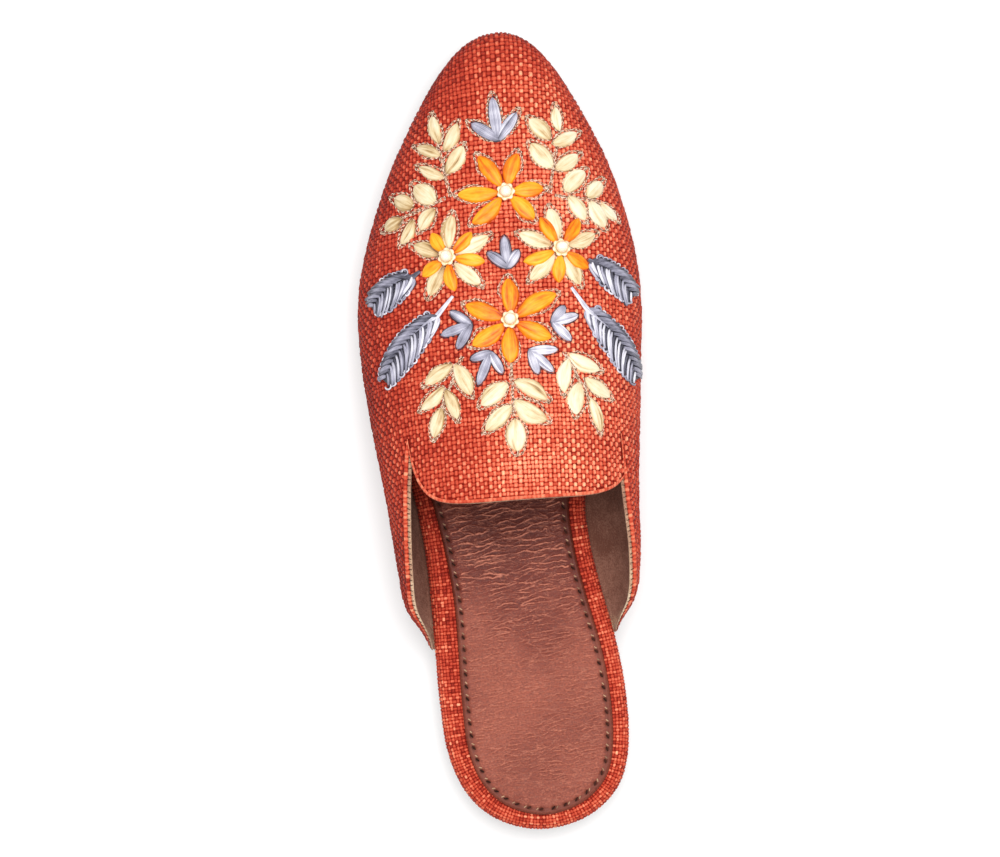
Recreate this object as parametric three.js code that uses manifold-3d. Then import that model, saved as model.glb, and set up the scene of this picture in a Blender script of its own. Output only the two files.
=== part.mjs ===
import * as THREE from "three";
import { mergeVertices } from "three/addons/utils/BufferGeometryUtils.js";
import Module from "manifold-3d";

const wasm = await Module();
wasm.setup();

// Embroidered pointed mule for the left foot, in millimetres.
// Toe towards +Y, outer side towards -X, inner side towards +X, floor at Z 0.
// fromToe is measured back from the toe tip and across from the middle of the width.
const LENGTH = 265;
const GAP = 0.3;
const STEPS = 40;

// Outsole
const FOREFOOT_THICK = 4.5;
const HEEL_SEAT = 12;
const SEAT_START = 205;
const SEAT_RAMP = 85;
const TOE_SPRING = 9;
const SPRING_START = 75;
const WAIST_RISE = 5;
const WAIST_START = 142;
const BREAST = 203;
const BREAST_RUN = 2.5;
const SOLE_BEVEL = 1.4;
const SOLE_UNDER_UPPER = 1.7;
const SOLE_UNDER_FOOTBED = -1;

// Footbed and sock
const FOOTBED_THICK = 6;
const FOOTBED_ROUND = 3;
const SOCK_THICK = 1.4;
const SOCK_BEVEL = 0.6;
const SOCK_RIM = 4.6;
const SOCK_RIM_OUTER = 3.6;
const SOCK_RIM_INNER = 0.8;
const SOCK_RIM_WIDENS = [150, 200];

// Upper
const WALL = 2.2;
const UPPER_STEPS = 30;
const LOW_POINTS = 4;
const ARCH_POINTS = 10;
const ARCH_POWER = 2.2;
const UPPER_END = 208;
const FOOT_SETBACK = 6;
const CROWN_SETBACK = 9;
const SETBACK_FADE = 13;
const WING_END = 204;
const THROAT = { fromToe: 154.5, height: 64 };
const COLLAR_SKEW = 0.028;

// Collar in side view, outer side then inner: end of the slit, handles and end of the wing's top line, handles of
// the throat's edge to the tongue's corner, and handles of the tongue's side from that corner to the slit. Each is
// a distance from the toe and a height.
const COLLARS = [
  {
    side: -1,
    slit: [132.3, 49.8],
    wing: [[160, 49.5], [200, 43], [203, 12.4]],
    throat: [[154.6, 59.8], [153.8, 56.2], [146.2, 53.2]],
    flap: [[143, 52], [138.5, 50.8]],
  },
  {
    side: 1,
    slit: [136, 46.5],
    wing: [[165, 46.5], [198, 40], [202, 12.4]],
    throat: [[155.3, 59], [155, 53], [149.9, 47]],
    flap: [[145.3, 46.9], [140.6, 46.7]],
  },
];

// Embroidery
const LIFT = 0.4;
const RELIEF = 1.1;
const STEM_RELIEF = 0.5;
const STEM_WIDTH = 1.3;
const LEAF_STEP = 5;
const WIDE_LEAF = 7;
const LEAF_TAIL = 0.8;
const PETAL_START = 2;
const CORE_RADIUS = 3;
const CORE_SIDES = 12;
const CORE_RELIEF = 0.7;
const PEARL_RADIUS = 2.1;
const CUP_RADIUS = 3;
const PEARL_SEAT = 1.2;

// Plan of the footbed: middle of each row across the shoe and half its width.
const FOOTBED = {
  start: 6,
  end: LENGTH,
  rows: [
    { fromToe: 6, middle: 4.2, half: 0 },
    { fromToe: 14, middle: 3.2, half: 13.2 },
    { fromToe: 25, middle: 2.8, half: 21 },
    { fromToe: 45, middle: 2.3, half: 30.4 },
    { fromToe: 70, middle: 1.4, half: 37.6 },
    { fromToe: 95, middle: 0, half: 40 },
    { fromToe: 120, middle: -1.4, half: 36.6 },
    { fromToe: 140, middle: -2.7, half: 31.5 },
    { fromToe: 157, middle: -2.8, half: 27.9 },
    { fromToe: 172, middle: -1.3, half: 27.4 },
    { fromToe: 187, middle: 0.7, half: 28.4 },
    { fromToe: 203, middle: 2.8, half: 30 },
    { fromToe: 220, middle: 4.3, half: 30.9 },
    { fromToe: 238, middle: 5.3, half: 30 },
    { fromToe: 250, middle: 6, half: 26.3 },
    { fromToe: 259, middle: 6, half: 18.6 },
    { fromToe: LENGTH, middle: 6, half: 0 },
  ],
};

// Sections of the upper: middle and half width at the belly, heights of belly and crown, crown towards inner side.
const UPPER = {
  start: 0,
  end: LENGTH,
  rows: [
    { fromToe: 0, middle: 4.1, half: 0, belly: 20.5, crown: 24, lean: 0 },
    { fromToe: 5, middle: 3.6, half: 12.1, belly: 20, crown: 28, lean: 0 },
    { fromToe: 12, middle: 3.2, half: 18.4, belly: 19, crown: 31.5, lean: 0.2 },
    { fromToe: 25, middle: 2.8, half: 26.4, belly: 18.2, crown: 35.5, lean: 0.5 },
    { fromToe: 50, middle: 2, half: 38, belly: 17.8, crown: 41.5, lean: 1 },
    { fromToe: 80, middle: 0.5, half: 46, belly: 18.5, crown: 48, lean: 1.8 },
    { fromToe: 95, middle: 0, half: 46.9, belly: 20, crown: 51.5, lean: 2.2 },
    { fromToe: 110, middle: -0.2, half: 46.1, belly: 22, crown: 55, lean: 2.6 },
    { fromToe: 125, middle: 0.1, half: 44.8, belly: 25, crown: 58.5, lean: 3 },
    { fromToe: 140, middle: 0.6, half: 43.2, belly: 28, crown: 61.5, lean: 3 },
    { fromToe: 155, middle: 1.2, half: 41.6, belly: 30, crown: 64, lean: 3 },
    { fromToe: 175, middle: 2.1, half: 40.2, belly: 28.5, crown: 66, lean: 3 },
    { fromToe: 190, middle: 2.1, half: 38, belly: 23.5, crown: 67, lean: 3 },
    { fromToe: 200, middle: 2.1, half: 33.3, belly: 18.5, crown: 67, lean: 3 },
    { fromToe: UPPER_END, middle: 3, half: 32.5, belly: 16.5, crown: 67, lean: 2 },
  ],
};

// Flowers: heading in degrees from +X towards the toe and reach of each petal.
const FLOWERS = [
  {
    name: "toe",
    across: 4.1,
    fromToe: 53.4,
    width: 5.4,
    petals: [[3, 12.6], [71, 13.6], [124, 15.2], [180, 16], [220, 15.2], [313, 13]],
    between: [],
  },
  {
    name: "outer",
    across: -16.2,
    fromToe: 74,
    width: 4.8,
    petals: [[351, 12.4], [44, 11.6], [120, 9.8], [214, 10.4], [279, 11.4]],
    between: [[25, 15.4], [81, 14.6], [157, 12], [241, 14.2], [318, 14]],
  },
  {
    name: "inner",
    across: 21.1,
    fromToe: 72.9,
    width: 4.8,
    petals: [[322, 11.4], [56, 11.8], [120, 12.4], [197, 13], [265, 11.4]],
    between: [[20, 12.6], [102, 14], [157, 14.6], [223, 14.4], [296, 13.6]],
  },
  {
    name: "instep",
    across: 3.3,
    fromToe: 95.8,
    width: 6,
    petals: [[27, 17.6], [90, 14], [158, 15.6], [211, 15], [268, 14.2], [334, 14.8]],
    between: [],
  },
];

// Trefoils: heading and length of the three small leaves that share a root.
const TREFOILS = [
  { name: "toe", across: 2.5, fromToe: 35.8, width: 4, leaves: [[95, 14.7], [146, 10.9], [53, 11.3]] },
  { name: "middle", across: 3.5, fromToe: 78.2, width: 3.6, leaves: [[94, 11], [141, 8.8], [55, 7.2]] },
  { name: "outer", across: -9.7, fromToe: 96.5, width: 3.3, leaves: [[146, 8.6], [198, 11], [239, 9.8]] },
  { name: "inner", across: 17.3, fromToe: 97.4, width: 3.5, leaves: [[52, 7.3], [14, 9.2], [312, 8.9]] },
  { name: "back_outer", across: -3.7, fromToe: 106.2, width: 3.2, leaves: [[197, 7.5], [246, 12.1], [297, 8.5]] },
  { name: "back_inner", across: 9.4, fromToe: 106.2, width: 3.3, leaves: [[359, 9.5], [314, 10.9], [286, 8.7]] },
];

// Sprigs: a stem with a near pair, a far pair and an end leaf that nods to one side.
const SPRIGS = [
  {
    name: "toe_outer", across: -14.3, fromToe: 53.4, heading: 101, reach: 17.8, near: 7, far: 14.2,
    left: 54, right: 43, nod: -10, leaf: 9.4, width: 4.8,
  },
  {
    name: "side_outer", across: -16.4, fromToe: 54.4, heading: 202, reach: 15.2, near: 3.8, far: 11.2,
    left: 34, right: 64, nod: 16, leaf: 8.4, width: 5,
  },
  {
    name: "toe_inner", across: 18.6, fromToe: 54, heading: 79, reach: 19.6, near: 7.8, far: 16.4,
    left: 50, right: 51, nod: 14, leaf: 9.4, width: 5,
  },
  {
    name: "side_inner", across: 20.6, fromToe: 55.4, heading: 349, reach: 15, near: 3.8, far: 10.8,
    left: 66, right: 48, nod: -39, leaf: 8.6, width: 4.8,
  },
  {
    name: "back_outer", across: -13.2, fromToe: 107.4, heading: 245, reach: 18, near: 3.6, far: 12.6,
    left: 49, right: 27, nod: 10, leaf: 10, width: 4.8,
  },
  {
    name: "back_middle", across: 2.9, fromToe: 112, heading: 270, reach: 15.8, near: 5, far: 12.2,
    left: 58, right: 54, nod: -1, leaf: 11.2, width: 5.6,
  },
  {
    name: "back_inner", across: 20.8, fromToe: 107.6, heading: 295, reach: 17.4, near: 2.6, far: 10.8,
    left: 33, right: 38, nod: -14, leaf: 10.4, width: 4.8,
  },
];

// Feather leaves that run down the sides from the two upper flowers.
const FEATHERS = [
  { name: "front_outer", across: -25.5, fromToe: 78.1, heading: 216, stem: 3.1, blade: 17.4, width: 9.6 },
  { name: "back_outer", across: -15.1, fromToe: 86.9, heading: 229, stem: 8.6, blade: 28.4, width: 9.6 },
  { name: "front_inner", across: 30, fromToe: 77, heading: 316, stem: 1.5, blade: 18.4, width: 8.8 },
  { name: "back_inner", across: 24, fromToe: 86, heading: 302, stem: 9.2, blade: 29, width: 9 },
];

const yAt = (fromToe) => LENGTH / 2 - fromToe;
const fromToeAt = (y) => LENGTH / 2 - y;
const radians = THREE.MathUtils.degToRad;
const blend = THREE.MathUtils.smoothstep;

// Angle that runs from 0 at the front end of a plan to a half turn at its back end.
function turnAt(table, fromToe) {
  const share = (fromToe - table.start) / (table.end - table.start);
  return Math.acos(THREE.MathUtils.clamp(1 - 2 * share, -1, 1));
}

function fromToeOfTurn(table, turn) {
  return table.start + (table.end - table.start) * (1 - Math.cos(turn)) / 2;
}

// Smooth curve through one column of a table, so that both ends of a plan come out round.
function column(table, name, turn) {
  const keys = table.rows.map((row) => turnAt(table, row.fromToe));
  const values = table.rows.map((row) => row[name]);
  const last = keys.length - 1;
  let i = 0;
  while (i < last - 1 && turn > keys[i + 1]) {
    i += 1;
  }
  const slope = (k) => (values[k + 1] - values[k]) / (keys[k + 1] - keys[k]);
  const inner = (k) => (slope(k - 1) + slope(k)) / 2;
  const span = keys[i + 1] - keys[i];
  const startSlope = i === 0 ? slope(0) : inner(i);
  const endSlope = i + 1 === last ? slope(last - 1) : inner(i + 1);
  const t = (turn - keys[i]) / span;
  const s = 1 - t;
  const ends = values[i] * s * s * (1 + 2 * t) + values[i + 1] * t * t * (1 + 2 * s);
  return ends + span * (startSlope * t * s * s - endSlope * t * t * s);
}

// Height of the outsole's top and underside along the shoe.
function soleTop(fromToe) {
  const seat = blend(fromToe, SEAT_START - SEAT_RAMP, SEAT_START);
  const spring = Math.max(0, 1 - fromToe / SPRING_START) ** 2;
  return FOREFOOT_THICK + (HEEL_SEAT - FOREFOOT_THICK) * seat + TOE_SPRING * spring;
}

function soleUnder(fromToe) {
  const spring = Math.max(0, 1 - fromToe / SPRING_START) ** 2;
  const waist = blend(fromToe, WAIST_START, BREAST) * (1 - blend(fromToe, BREAST, BREAST + BREAST_RUN));
  return TOE_SPRING * spring + WAIST_RISE * waist;
}

// Edge of the footbed's plan on one side, moved outwards along its own normal.
function footbedEdge(side, turn) {
  if (turn < 0) {
    return footbedEdge(-side, -turn);
  }
  if (turn > Math.PI) {
    return footbedEdge(-side, 2 * Math.PI - turn);
  }
  const x = column(FOOTBED, "middle", turn) + side * column(FOOTBED, "half", turn);
  return new THREE.Vector2(x, yAt(fromToeOfTurn(FOOTBED, turn)));
}

function soleEdge(side, turn, outwards) {
  const along = footbedEdge(side, turn + 0.01).sub(footbedEdge(side, turn - 0.01)).normalize();
  const edge = footbedEdge(side, turn);
  return new THREE.Vector2(edge.x - side * along.y * outwards, edge.y + side * along.x * outwards);
}

// Closed skin over rings of equal length; rings that shrink to a line or point close the ends.
function skin(rings, foldLast = false) {
  const count = rings[0].length;
  const positions = rings.flat().flatMap((point) => [point.x, point.y, point.z]);
  const triangles = [];
  const quad = (a, b, c, d) => triangles.push([a, b, c], [a, c, d]);
  for (let i = 0; i < rings.length - 1; i += 1) {
    for (let j = 0; j < count; j += 1) {
      const next = (j + 1) % count;
      quad(i * count + j, i * count + next, (i + 1) * count + next, (i + 1) * count + j);
    }
  }
  if (foldLast) {
    const base = (rings.length - 1) * count;
    for (let j = 0; j < count / 2 - 1; j += 1) {
      quad(base + j, base + j + 1, base + count - 2 - j, base + count - 1 - j);
    }
  }
  return welded(positions, triangles);
}

// Joins corners that coincide, drops triangles without area and turns the faces outwards.
function welded(positions, triangles) {
  const geometry = new THREE.BufferGeometry();
  geometry.setAttribute("position", new THREE.Float32BufferAttribute(positions, 3));
  geometry.setIndex(triangles.flat());
  const merged = mergeVertices(geometry, 1e-4);
  const index = merged.getIndex().array;
  const place = merged.getAttribute("position");
  const corner = (k) => new THREE.Vector3().fromBufferAttribute(place, k);
  let volume = 0;
  let kept = [];
  for (let k = 0; k < index.length; k += 3) {
    const [a, b, c] = [index[k], index[k + 1], index[k + 2]];
    if (a !== b && b !== c && c !== a) {
      kept.push([a, b, c]);
      volume += corner(a).dot(corner(b).cross(corner(c)));
    }
  }
  if (volume < 0) {
    kept = kept.map(([a, b, c]) => [a, c, b]);
  }
  merged.setIndex(kept.flat());
  return merged;
}

function toManifold(geometry) {
  const bare = new THREE.BufferGeometry();
  bare.setAttribute("position", geometry.getAttribute("position"));
  bare.setIndex(geometry.getIndex());
  const merged = mergeVertices(bare, 1e-4);
  const mesh = new wasm.Mesh({
    numProp: 3,
    vertProperties: new Float32Array(merged.getAttribute("position").array),
    triVerts: new Uint32Array(merged.getIndex().array),
  });
  return new wasm.Manifold(mesh);
}

function toGeometry(manifold) {
  const mesh = manifold.getMesh();
  const geometry = new THREE.BufferGeometry();
  geometry.setAttribute("position", new THREE.Float32BufferAttribute(mesh.vertProperties, 3));
  geometry.setIndex(new THREE.Uint32BufferAttribute(mesh.triVerts, 1));
  return geometry;
}

function joined(geometries) {
  return toGeometry(geometries.map(toManifold).reduce((whole, piece) => whole.add(piece)));
}

// One ring of a sole piece: the right half's profile and the same on the left, each at its own height.
function soleRing(turn, profile) {
  const half = (side) => profile.map(({ outwards, height }) => {
    const edge = soleEdge(side, turn, outwards(side, turn));
    return new THREE.Vector3(edge.x, edge.y, height(fromToeAt(edge.y)));
  });
  return [...half(1), ...half(-1).reverse()];
}

function stations(table, steps, extra = []) {
  const turns = Array.from({ length: steps + 1 }, (_, i) => Math.PI * i / steps);
  const added = extra.map((fromToe) => turnAt(table, fromToe));
  return [...turns, ...added].sort((a, b) => a - b);
}

function outsole() {
  const reach = (side, turn) => {
    const back = blend(fromToeOfTurn(FOOTBED, turn), WING_END - 10, WING_END);
    return THREE.MathUtils.lerp(SOLE_UNDER_UPPER, SOLE_UNDER_FOOTBED, back);
  };
  const profile = [
    { outwards: (side, turn) => reach(side, turn) - SOLE_BEVEL, height: soleUnder },
    { outwards: reach, height: (fromToe) => soleUnder(fromToe) + SOLE_BEVEL },
    { outwards: reach, height: soleTop },
  ];
  const breast = [BREAST - 0.2, BREAST, BREAST + BREAST_RUN / 2, BREAST + BREAST_RUN];
  return skin(stations(FOOTBED, STEPS, breast).map((turn) => soleRing(turn, profile)));
}

function footbed() {
  const profile = [-90, -54, -18, 18, 54, 90].map((angle) => ({
    outwards: () => FOOTBED_ROUND * (Math.cos(radians(angle)) - 1),
    height: (fromToe) => soleTop(fromToe) + GAP + FOOTBED_THICK * (1 + Math.sin(radians(angle))) / 2,
  }));
  return skin(stations(FOOTBED, STEPS).map((turn) => soleRing(turn, profile)));
}

function sock() {
  const rim = (side, turn) => {
    const wide = THREE.MathUtils.lerp(0.2, 1, blend(fromToeOfTurn(FOOTBED, turn), ...SOCK_RIM_WIDENS));
    const extra = side < 0 ? SOCK_RIM_OUTER * wide : SOCK_RIM_INNER;
    return -SOCK_RIM - extra * Math.sin(turn);
  };
  const base = (fromToe) => soleTop(fromToe) + FOOTBED_THICK + 2 * GAP;
  const profile = [
    { outwards: rim, height: base },
    { outwards: rim, height: (fromToe) => base(fromToe) + SOCK_THICK - SOCK_BEVEL },
    { outwards: (side, turn) => rim(side, turn) - SOCK_BEVEL, height: (fromToe) => base(fromToe) + SOCK_THICK },
  ];
  return skin(stations(FOOTBED, STEPS).map((turn) => soleRing(turn, profile)));
}

// Point on the outside of the upper: side -1 or 1, rise 0 at the sole, then the belly, then 1 at the crown.
function upperPoint(turn, side, rise) {
  const fromToe = fromToeOfTurn(UPPER, turn);
  const fade = Math.exp(-fromToe / SETBACK_FADE);
  const foot = soleEdge(side, turnAt(FOOTBED, fromToe + FOOT_SETBACK * fade), WALL + GAP);
  const footHeight = soleTop(fromToeAt(foot.y)) + GAP;
  const middle = column(UPPER, "middle", turn);
  const bellyX = middle + side * column(UPPER, "half", turn);
  const bellyY = yAt(fromToe);
  const belly = column(UPPER, "belly", turn);
  const low = LOW_POINTS / (LOW_POINTS + ARCH_POINTS);
  if (rise < low) {
    const t = rise / low;
    const out = 1 - (1 - t) ** 2;
    return new THREE.Vector3(
      THREE.MathUtils.lerp(foot.x, bellyX, out),
      THREE.MathUtils.lerp(foot.y, bellyY, out),
      THREE.MathUtils.lerp(footHeight, belly, t),
    );
  }
  const angle = (rise - low) / (1 - low) * Math.PI / 2;
  const inwards = 1 - Math.max(0, Math.cos(angle)) ** (2 / ARCH_POWER);
  const upwards = Math.sin(angle) ** (2 / ARCH_POWER);
  const crownFromToe = fromToe + CROWN_SETBACK * fade;
  const crown = column(UPPER, "crown", turnAt(UPPER, crownFromToe));
  const crownX = middle + column(UPPER, "lean", turn);
  return new THREE.Vector3(
    THREE.MathUtils.lerp(bellyX, crownX, inwards),
    THREE.MathUtils.lerp(bellyY, yAt(crownFromToe), Math.sin(angle) ** 2),
    THREE.MathUtils.lerp(belly, crown, upwards),
  );
}

// Outward normal of the upper; on the toe's centre line both sides share one.
function sideNormal(turn, side, rise) {
  const t = Math.max(turn, 0.03);
  const r = THREE.MathUtils.clamp(rise, 0.01, 0.985);
  const along = upperPoint(t + 0.01, side, r).sub(upperPoint(t - 0.01, side, r));
  const around = upperPoint(t, side, r + 0.01).sub(upperPoint(t, side, r - 0.01));
  return around.cross(along).multiplyScalar(side).normalize();
}

function upperNormal(turn, side, rise) {
  const normal = sideNormal(turn, side, rise);
  if (turn === 0 || rise === 1) {
    normal.add(sideNormal(turn, -side, rise)).setX(0);
  }
  return normal.normalize();
}

function upperTurns() {
  const end = turnAt(UPPER, UPPER_END);
  return Array.from({ length: UPPER_STEPS + 1 }, (_, i) => end * i / UPPER_STEPS);
}

// One arch of the upper from the outer edge over the crown to the inner edge, set in by a depth.
function upperArch(turn, depth) {
  const count = LOW_POINTS + ARCH_POINTS;
  const rises = Array.from({ length: count + 1 }, (_, i) => i / count);
  const place = (side) => (rise) => {
    const normal = upperNormal(turn, side, rise);
    return upperPoint(turn, side, rise).addScaledVector(normal, -depth);
  };
  return [...rises.map(place(-1)), ...rises.slice(0, -1).reverse().map(place(1))];
}

// Side view of everything that is cut away behind the vamp on one side: throat, slit and wing top line.
function collarCutter({ side, slit, wing, throat, flap }) {
  const at = ([fromToe, height]) => [yAt(fromToe), height];
  const shape = new THREE.Shape();
  shape.moveTo(...at(slit));
  shape.bezierCurveTo(...wing.flatMap(at));
  shape.lineTo(...at([wing[2][0], 0]));
  shape.lineTo(...at([LENGTH, 0]));
  shape.lineTo(...at([LENGTH, 90]));
  shape.lineTo(...at([THROAT.fromToe, 90]));
  shape.lineTo(...at([THROAT.fromToe, THROAT.height]));
  shape.bezierCurveTo(...throat.flatMap(at));
  shape.bezierCurveTo(...flap.flatMap(at), ...at(slit));
  const options = { depth: 70.5, bevelEnabled: false, curveSegments: 14 };
  const geometry = new THREE.ExtrudeGeometry(shape, options).translate(0, 0, side < 0 ? -70 : -0.5);
  const basis = new THREE.Matrix4().makeBasis(
    new THREE.Vector3(0, 1, 0),
    new THREE.Vector3(0, 0, 1),
    new THREE.Vector3(1, 0, 0),
  );
  const skew = new THREE.Matrix4().makeShear(COLLAR_SKEW, 0, 0, 0, 0, 0);
  return geometry.applyMatrix4(basis).applyMatrix4(skew);
}

function upper() {
  const rings = upperTurns().map((turn) => [...upperArch(turn, 0), ...upperArch(turn, WALL).reverse()]);
  const cut = (shell, collar) => shell.subtract(toManifold(collarCutter(collar)));
  return toGeometry(COLLARS.reduce(cut, toManifold(skin(rings, true))));
}

// Outside of the upper as a plain surface on which embroidery is laid.
function vampSurface() {
  const arches = upperTurns().map((turn) => upperArch(turn, 0));
  const count = arches[0].length;
  const triangles = [];
  for (let i = 0; i < arches.length - 1; i += 1) {
    for (let j = 0; j < count - 1; j += 1) {
      const a = i * count + j;
      triangles.push(a, a + 1, a + count + 1, a, a + count + 1, a + count);
    }
  }
  const geometry = new THREE.BufferGeometry();
  const positions = arches.flat().flatMap((point) => [point.x, point.y, point.z]);
  geometry.setAttribute("position", new THREE.Float32BufferAttribute(positions, 3));
  geometry.setIndex(triangles);
  return new THREE.Mesh(geometry, new THREE.MeshStandardMaterial({ side: THREE.DoubleSide }));
}

const vamp = vampSurface();
vamp.updateMatrixWorld();
const probe = new THREE.Raycaster();
const DOWN = new THREE.Vector3(0, 0, -1);

// Point a given height above the upper, straight under a place in plan.
function onVamp(across, fromToe, height) {
  probe.set(new THREE.Vector3(across, yAt(fromToe), 120), DOWN);
  const hit = probe.intersectObject(vamp)[0];
  const normal = hit.face.normal.clone();
  normal.multiplyScalar(Math.sign(normal.z));
  return hit.point.clone().addScaledVector(normal, height);
}

// A raised leaf laid on the upper: widest past its middle, pointed at both ends; wide ones follow the curve closer.
function leaf({ across, fromToe, heading, length, width, relief }) {
  const along = new THREE.Vector2(Math.cos(radians(heading)), -Math.sin(radians(heading)));
  const place = (run, offset, height) => {
    const x = across + along.x * run - along.y * offset;
    return onVamp(x, fromToe + along.y * run + along.x * offset, height);
  };
  const wide = width > WIDE_LEAF;
  const shares = wide ? [-1, -0.5, 0, 0.5, 1] : [-1, 0, 1];
  const steps = Math.max(3, Math.round(length / (wide ? LEAF_STEP / 2 : LEAF_STEP)));
  const rings = Array.from({ length: steps + 1 }, (_, i) => {
    const full = i === steps ? 0 : Math.sin(Math.PI * (i / steps) ** 1.15) ** 0.7;
    const run = i / steps * length;
    const under = shares.map((share) => place(run, share * full * width / 2, LIFT));
    const inside = shares.slice(1, -1).reverse();
    const over = inside.map((share) => {
      return place(run, share * full * width / 2, LIFT + relief * full * (1 - share * share));
    });
    return [...under, ...over];
  });
  return skin(rings);
}

function pointAlong({ across, fromToe }, heading, distance) {
  return {
    across: across + distance * Math.cos(radians(heading)),
    fromToe: fromToe - distance * Math.sin(radians(heading)),
  };
}

function flower(row) {
  const petals = [...row.petals, ...row.between].map(([heading, reach]) => leaf({
    ...pointAlong(row, heading, PETAL_START),
    heading,
    length: reach - PETAL_START,
    width: row.width,
    relief: RELIEF,
  }));
  return joined([core(row), ...petals]);
}

// Low button in the middle of a flower that its petals run into.
function core(row) {
  const round = Array.from({ length: CORE_SIDES }, (_, i) => pointAlong(row, 360 * i / CORE_SIDES + 7, CORE_RADIUS));
  const ring = (places, height) => places.map((place) => onVamp(place.across, place.fromToe, height));
  const middle = round.map(() => row);
  return skin([
    ring(middle, LIFT),
    ring(round, LIFT),
    ring(round, LIFT + CORE_RELIEF),
    ring(middle, LIFT + CORE_RELIEF),
  ]);
}

function trefoil(row) {
  const leaves = row.leaves.map(([heading, length]) => leaf({
    ...pointAlong(row, heading, -LEAF_TAIL),
    heading,
    length: length + LEAF_TAIL,
    width: row.width,
    relief: RELIEF,
  }));
  return joined(leaves);
}

function stem(row, length) {
  return leaf({ ...row, length, width: STEM_WIDTH, relief: STEM_RELIEF });
}

function sprig(row) {
  const leaves = [[row.near, row.left], [row.near, -row.right], [row.far, row.left], [row.far, -row.right]];
  const blades = [...leaves, [row.reach, row.nod]].map(([distance, turned]) => leaf({
    ...pointAlong(pointAlong(row, row.heading, distance), row.heading + turned, -LEAF_TAIL),
    heading: row.heading + turned,
    length: row.leaf + LEAF_TAIL,
    width: row.width,
    relief: RELIEF,
  }));
  return joined([stem(row, row.reach + 2), ...blades]);
}

function feather(row) {
  const blade = leaf({
    ...pointAlong(row, row.heading, row.stem),
    heading: row.heading,
    length: row.blade,
    width: row.width,
    relief: RELIEF,
  });
  return joined([stem(row, row.stem + row.blade / 2), blade]);
}

// Bead in a shallow cup, standing square to the upper on the middle of a flower.
function pearl(row) {
  const cup = [[0, 0], [1.6, 0], [CUP_RADIUS, 0.7], [CUP_RADIUS - 0.2, 1.1], [PEARL_RADIUS, 1.2]];
  const bead = [15, 45, 70].map((angle) => [
    PEARL_RADIUS * Math.cos(radians(angle)),
    1.2 + PEARL_RADIUS * Math.sin(radians(angle)),
  ]);
  const outline = [...cup, ...bead, [0, 1.2 + PEARL_RADIUS]].map(([x, y]) => new THREE.Vector2(x, y));
  const geometry = new THREE.LatheGeometry(outline, 12);
  const foot = onVamp(row.across, row.fromToe, 0);
  const axis = onVamp(row.across, row.fromToe, 1).sub(foot);
  const turn = new THREE.Quaternion().setFromUnitVectors(new THREE.Vector3(0, 1, 0), axis);
  geometry.applyQuaternion(turn);
  const seat = foot.addScaledVector(axis, PEARL_SEAT + GAP);
  geometry.translate(seat.x, seat.y, seat.z);
  const positions = Array.from(geometry.getAttribute("position").array);
  const index = geometry.getIndex().array;
  const triangles = Array.from({ length: index.length / 3 }, (_, k) => Array.from(index.slice(3 * k, 3 * k + 3)));
  return welded(positions, triangles);
}

const rubber = new THREE.MeshStandardMaterial({ color: 0x4a3a30, roughness: 0.7, metalness: 0 });
const cloth = new THREE.MeshStandardMaterial({ color: 0xa84a34, roughness: 0.85, metalness: 0 });
const leather = new THREE.MeshStandardMaterial({ color: 0x8a5140, roughness: 0.55, metalness: 0 });
const satin = new THREE.MeshStandardMaterial({ color: 0xf0932e, roughness: 0.4, metalness: 0 });
const cream = new THREE.MeshStandardMaterial({ color: 0xe8d9b4, roughness: 0.45, metalness: 0 });
const thread = new THREE.MeshStandardMaterial({ color: 0xa9a0a4, roughness: 0.6, metalness: 0 });
const bead = new THREE.MeshStandardMaterial({ color: 0xefe2cc, roughness: 0.25, metalness: 0 });

const group = new THREE.Group();
group.name = "embroidered_mule";

function add(name, geometry, material) {
  geometry.computeVertexNormals();
  const mesh = new THREE.Mesh(geometry, material.clone());
  mesh.name = name;
  group.add(mesh);
}

add("outsole", outsole(), rubber);
add("footbed", footbed(), cloth);
add("sock", sock(), leather);
add("upper", upper(), cloth);
FLOWERS.forEach((row) => add(`flower_${row.name}`, flower(row), satin));
FLOWERS.forEach((row) => add(`pearl_${row.name}`, pearl(row), bead));
TREFOILS.forEach((row) => add(`trefoil_${row.name}`, trefoil(row), thread));
SPRIGS.forEach((row) => add(`sprig_${row.name}`, sprig(row), cream));
FEATHERS.forEach((row) => add(`feather_${row.name}`, feather(row), thread));

export default group;
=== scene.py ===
import math

import bpy
import numpy as np
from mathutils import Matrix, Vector
from mathutils.bvhtree import BVHTree


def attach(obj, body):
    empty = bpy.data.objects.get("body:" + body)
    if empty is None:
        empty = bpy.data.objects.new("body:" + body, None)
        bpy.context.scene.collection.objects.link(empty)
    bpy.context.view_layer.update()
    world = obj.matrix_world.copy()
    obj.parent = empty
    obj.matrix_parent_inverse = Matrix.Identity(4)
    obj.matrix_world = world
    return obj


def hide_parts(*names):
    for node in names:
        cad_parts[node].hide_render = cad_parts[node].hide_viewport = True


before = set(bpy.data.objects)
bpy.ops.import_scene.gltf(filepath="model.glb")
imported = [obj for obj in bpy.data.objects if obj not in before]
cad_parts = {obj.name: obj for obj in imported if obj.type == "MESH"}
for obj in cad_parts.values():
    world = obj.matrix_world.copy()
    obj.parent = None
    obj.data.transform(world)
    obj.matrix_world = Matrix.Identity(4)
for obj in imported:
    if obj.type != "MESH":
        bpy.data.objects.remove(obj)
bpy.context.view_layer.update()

# Sizes are in millimetres, in the frame of the part: +Y to the toe, +Z up; MM turns them into metres.
MM = 0.001
SEED = 11

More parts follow.
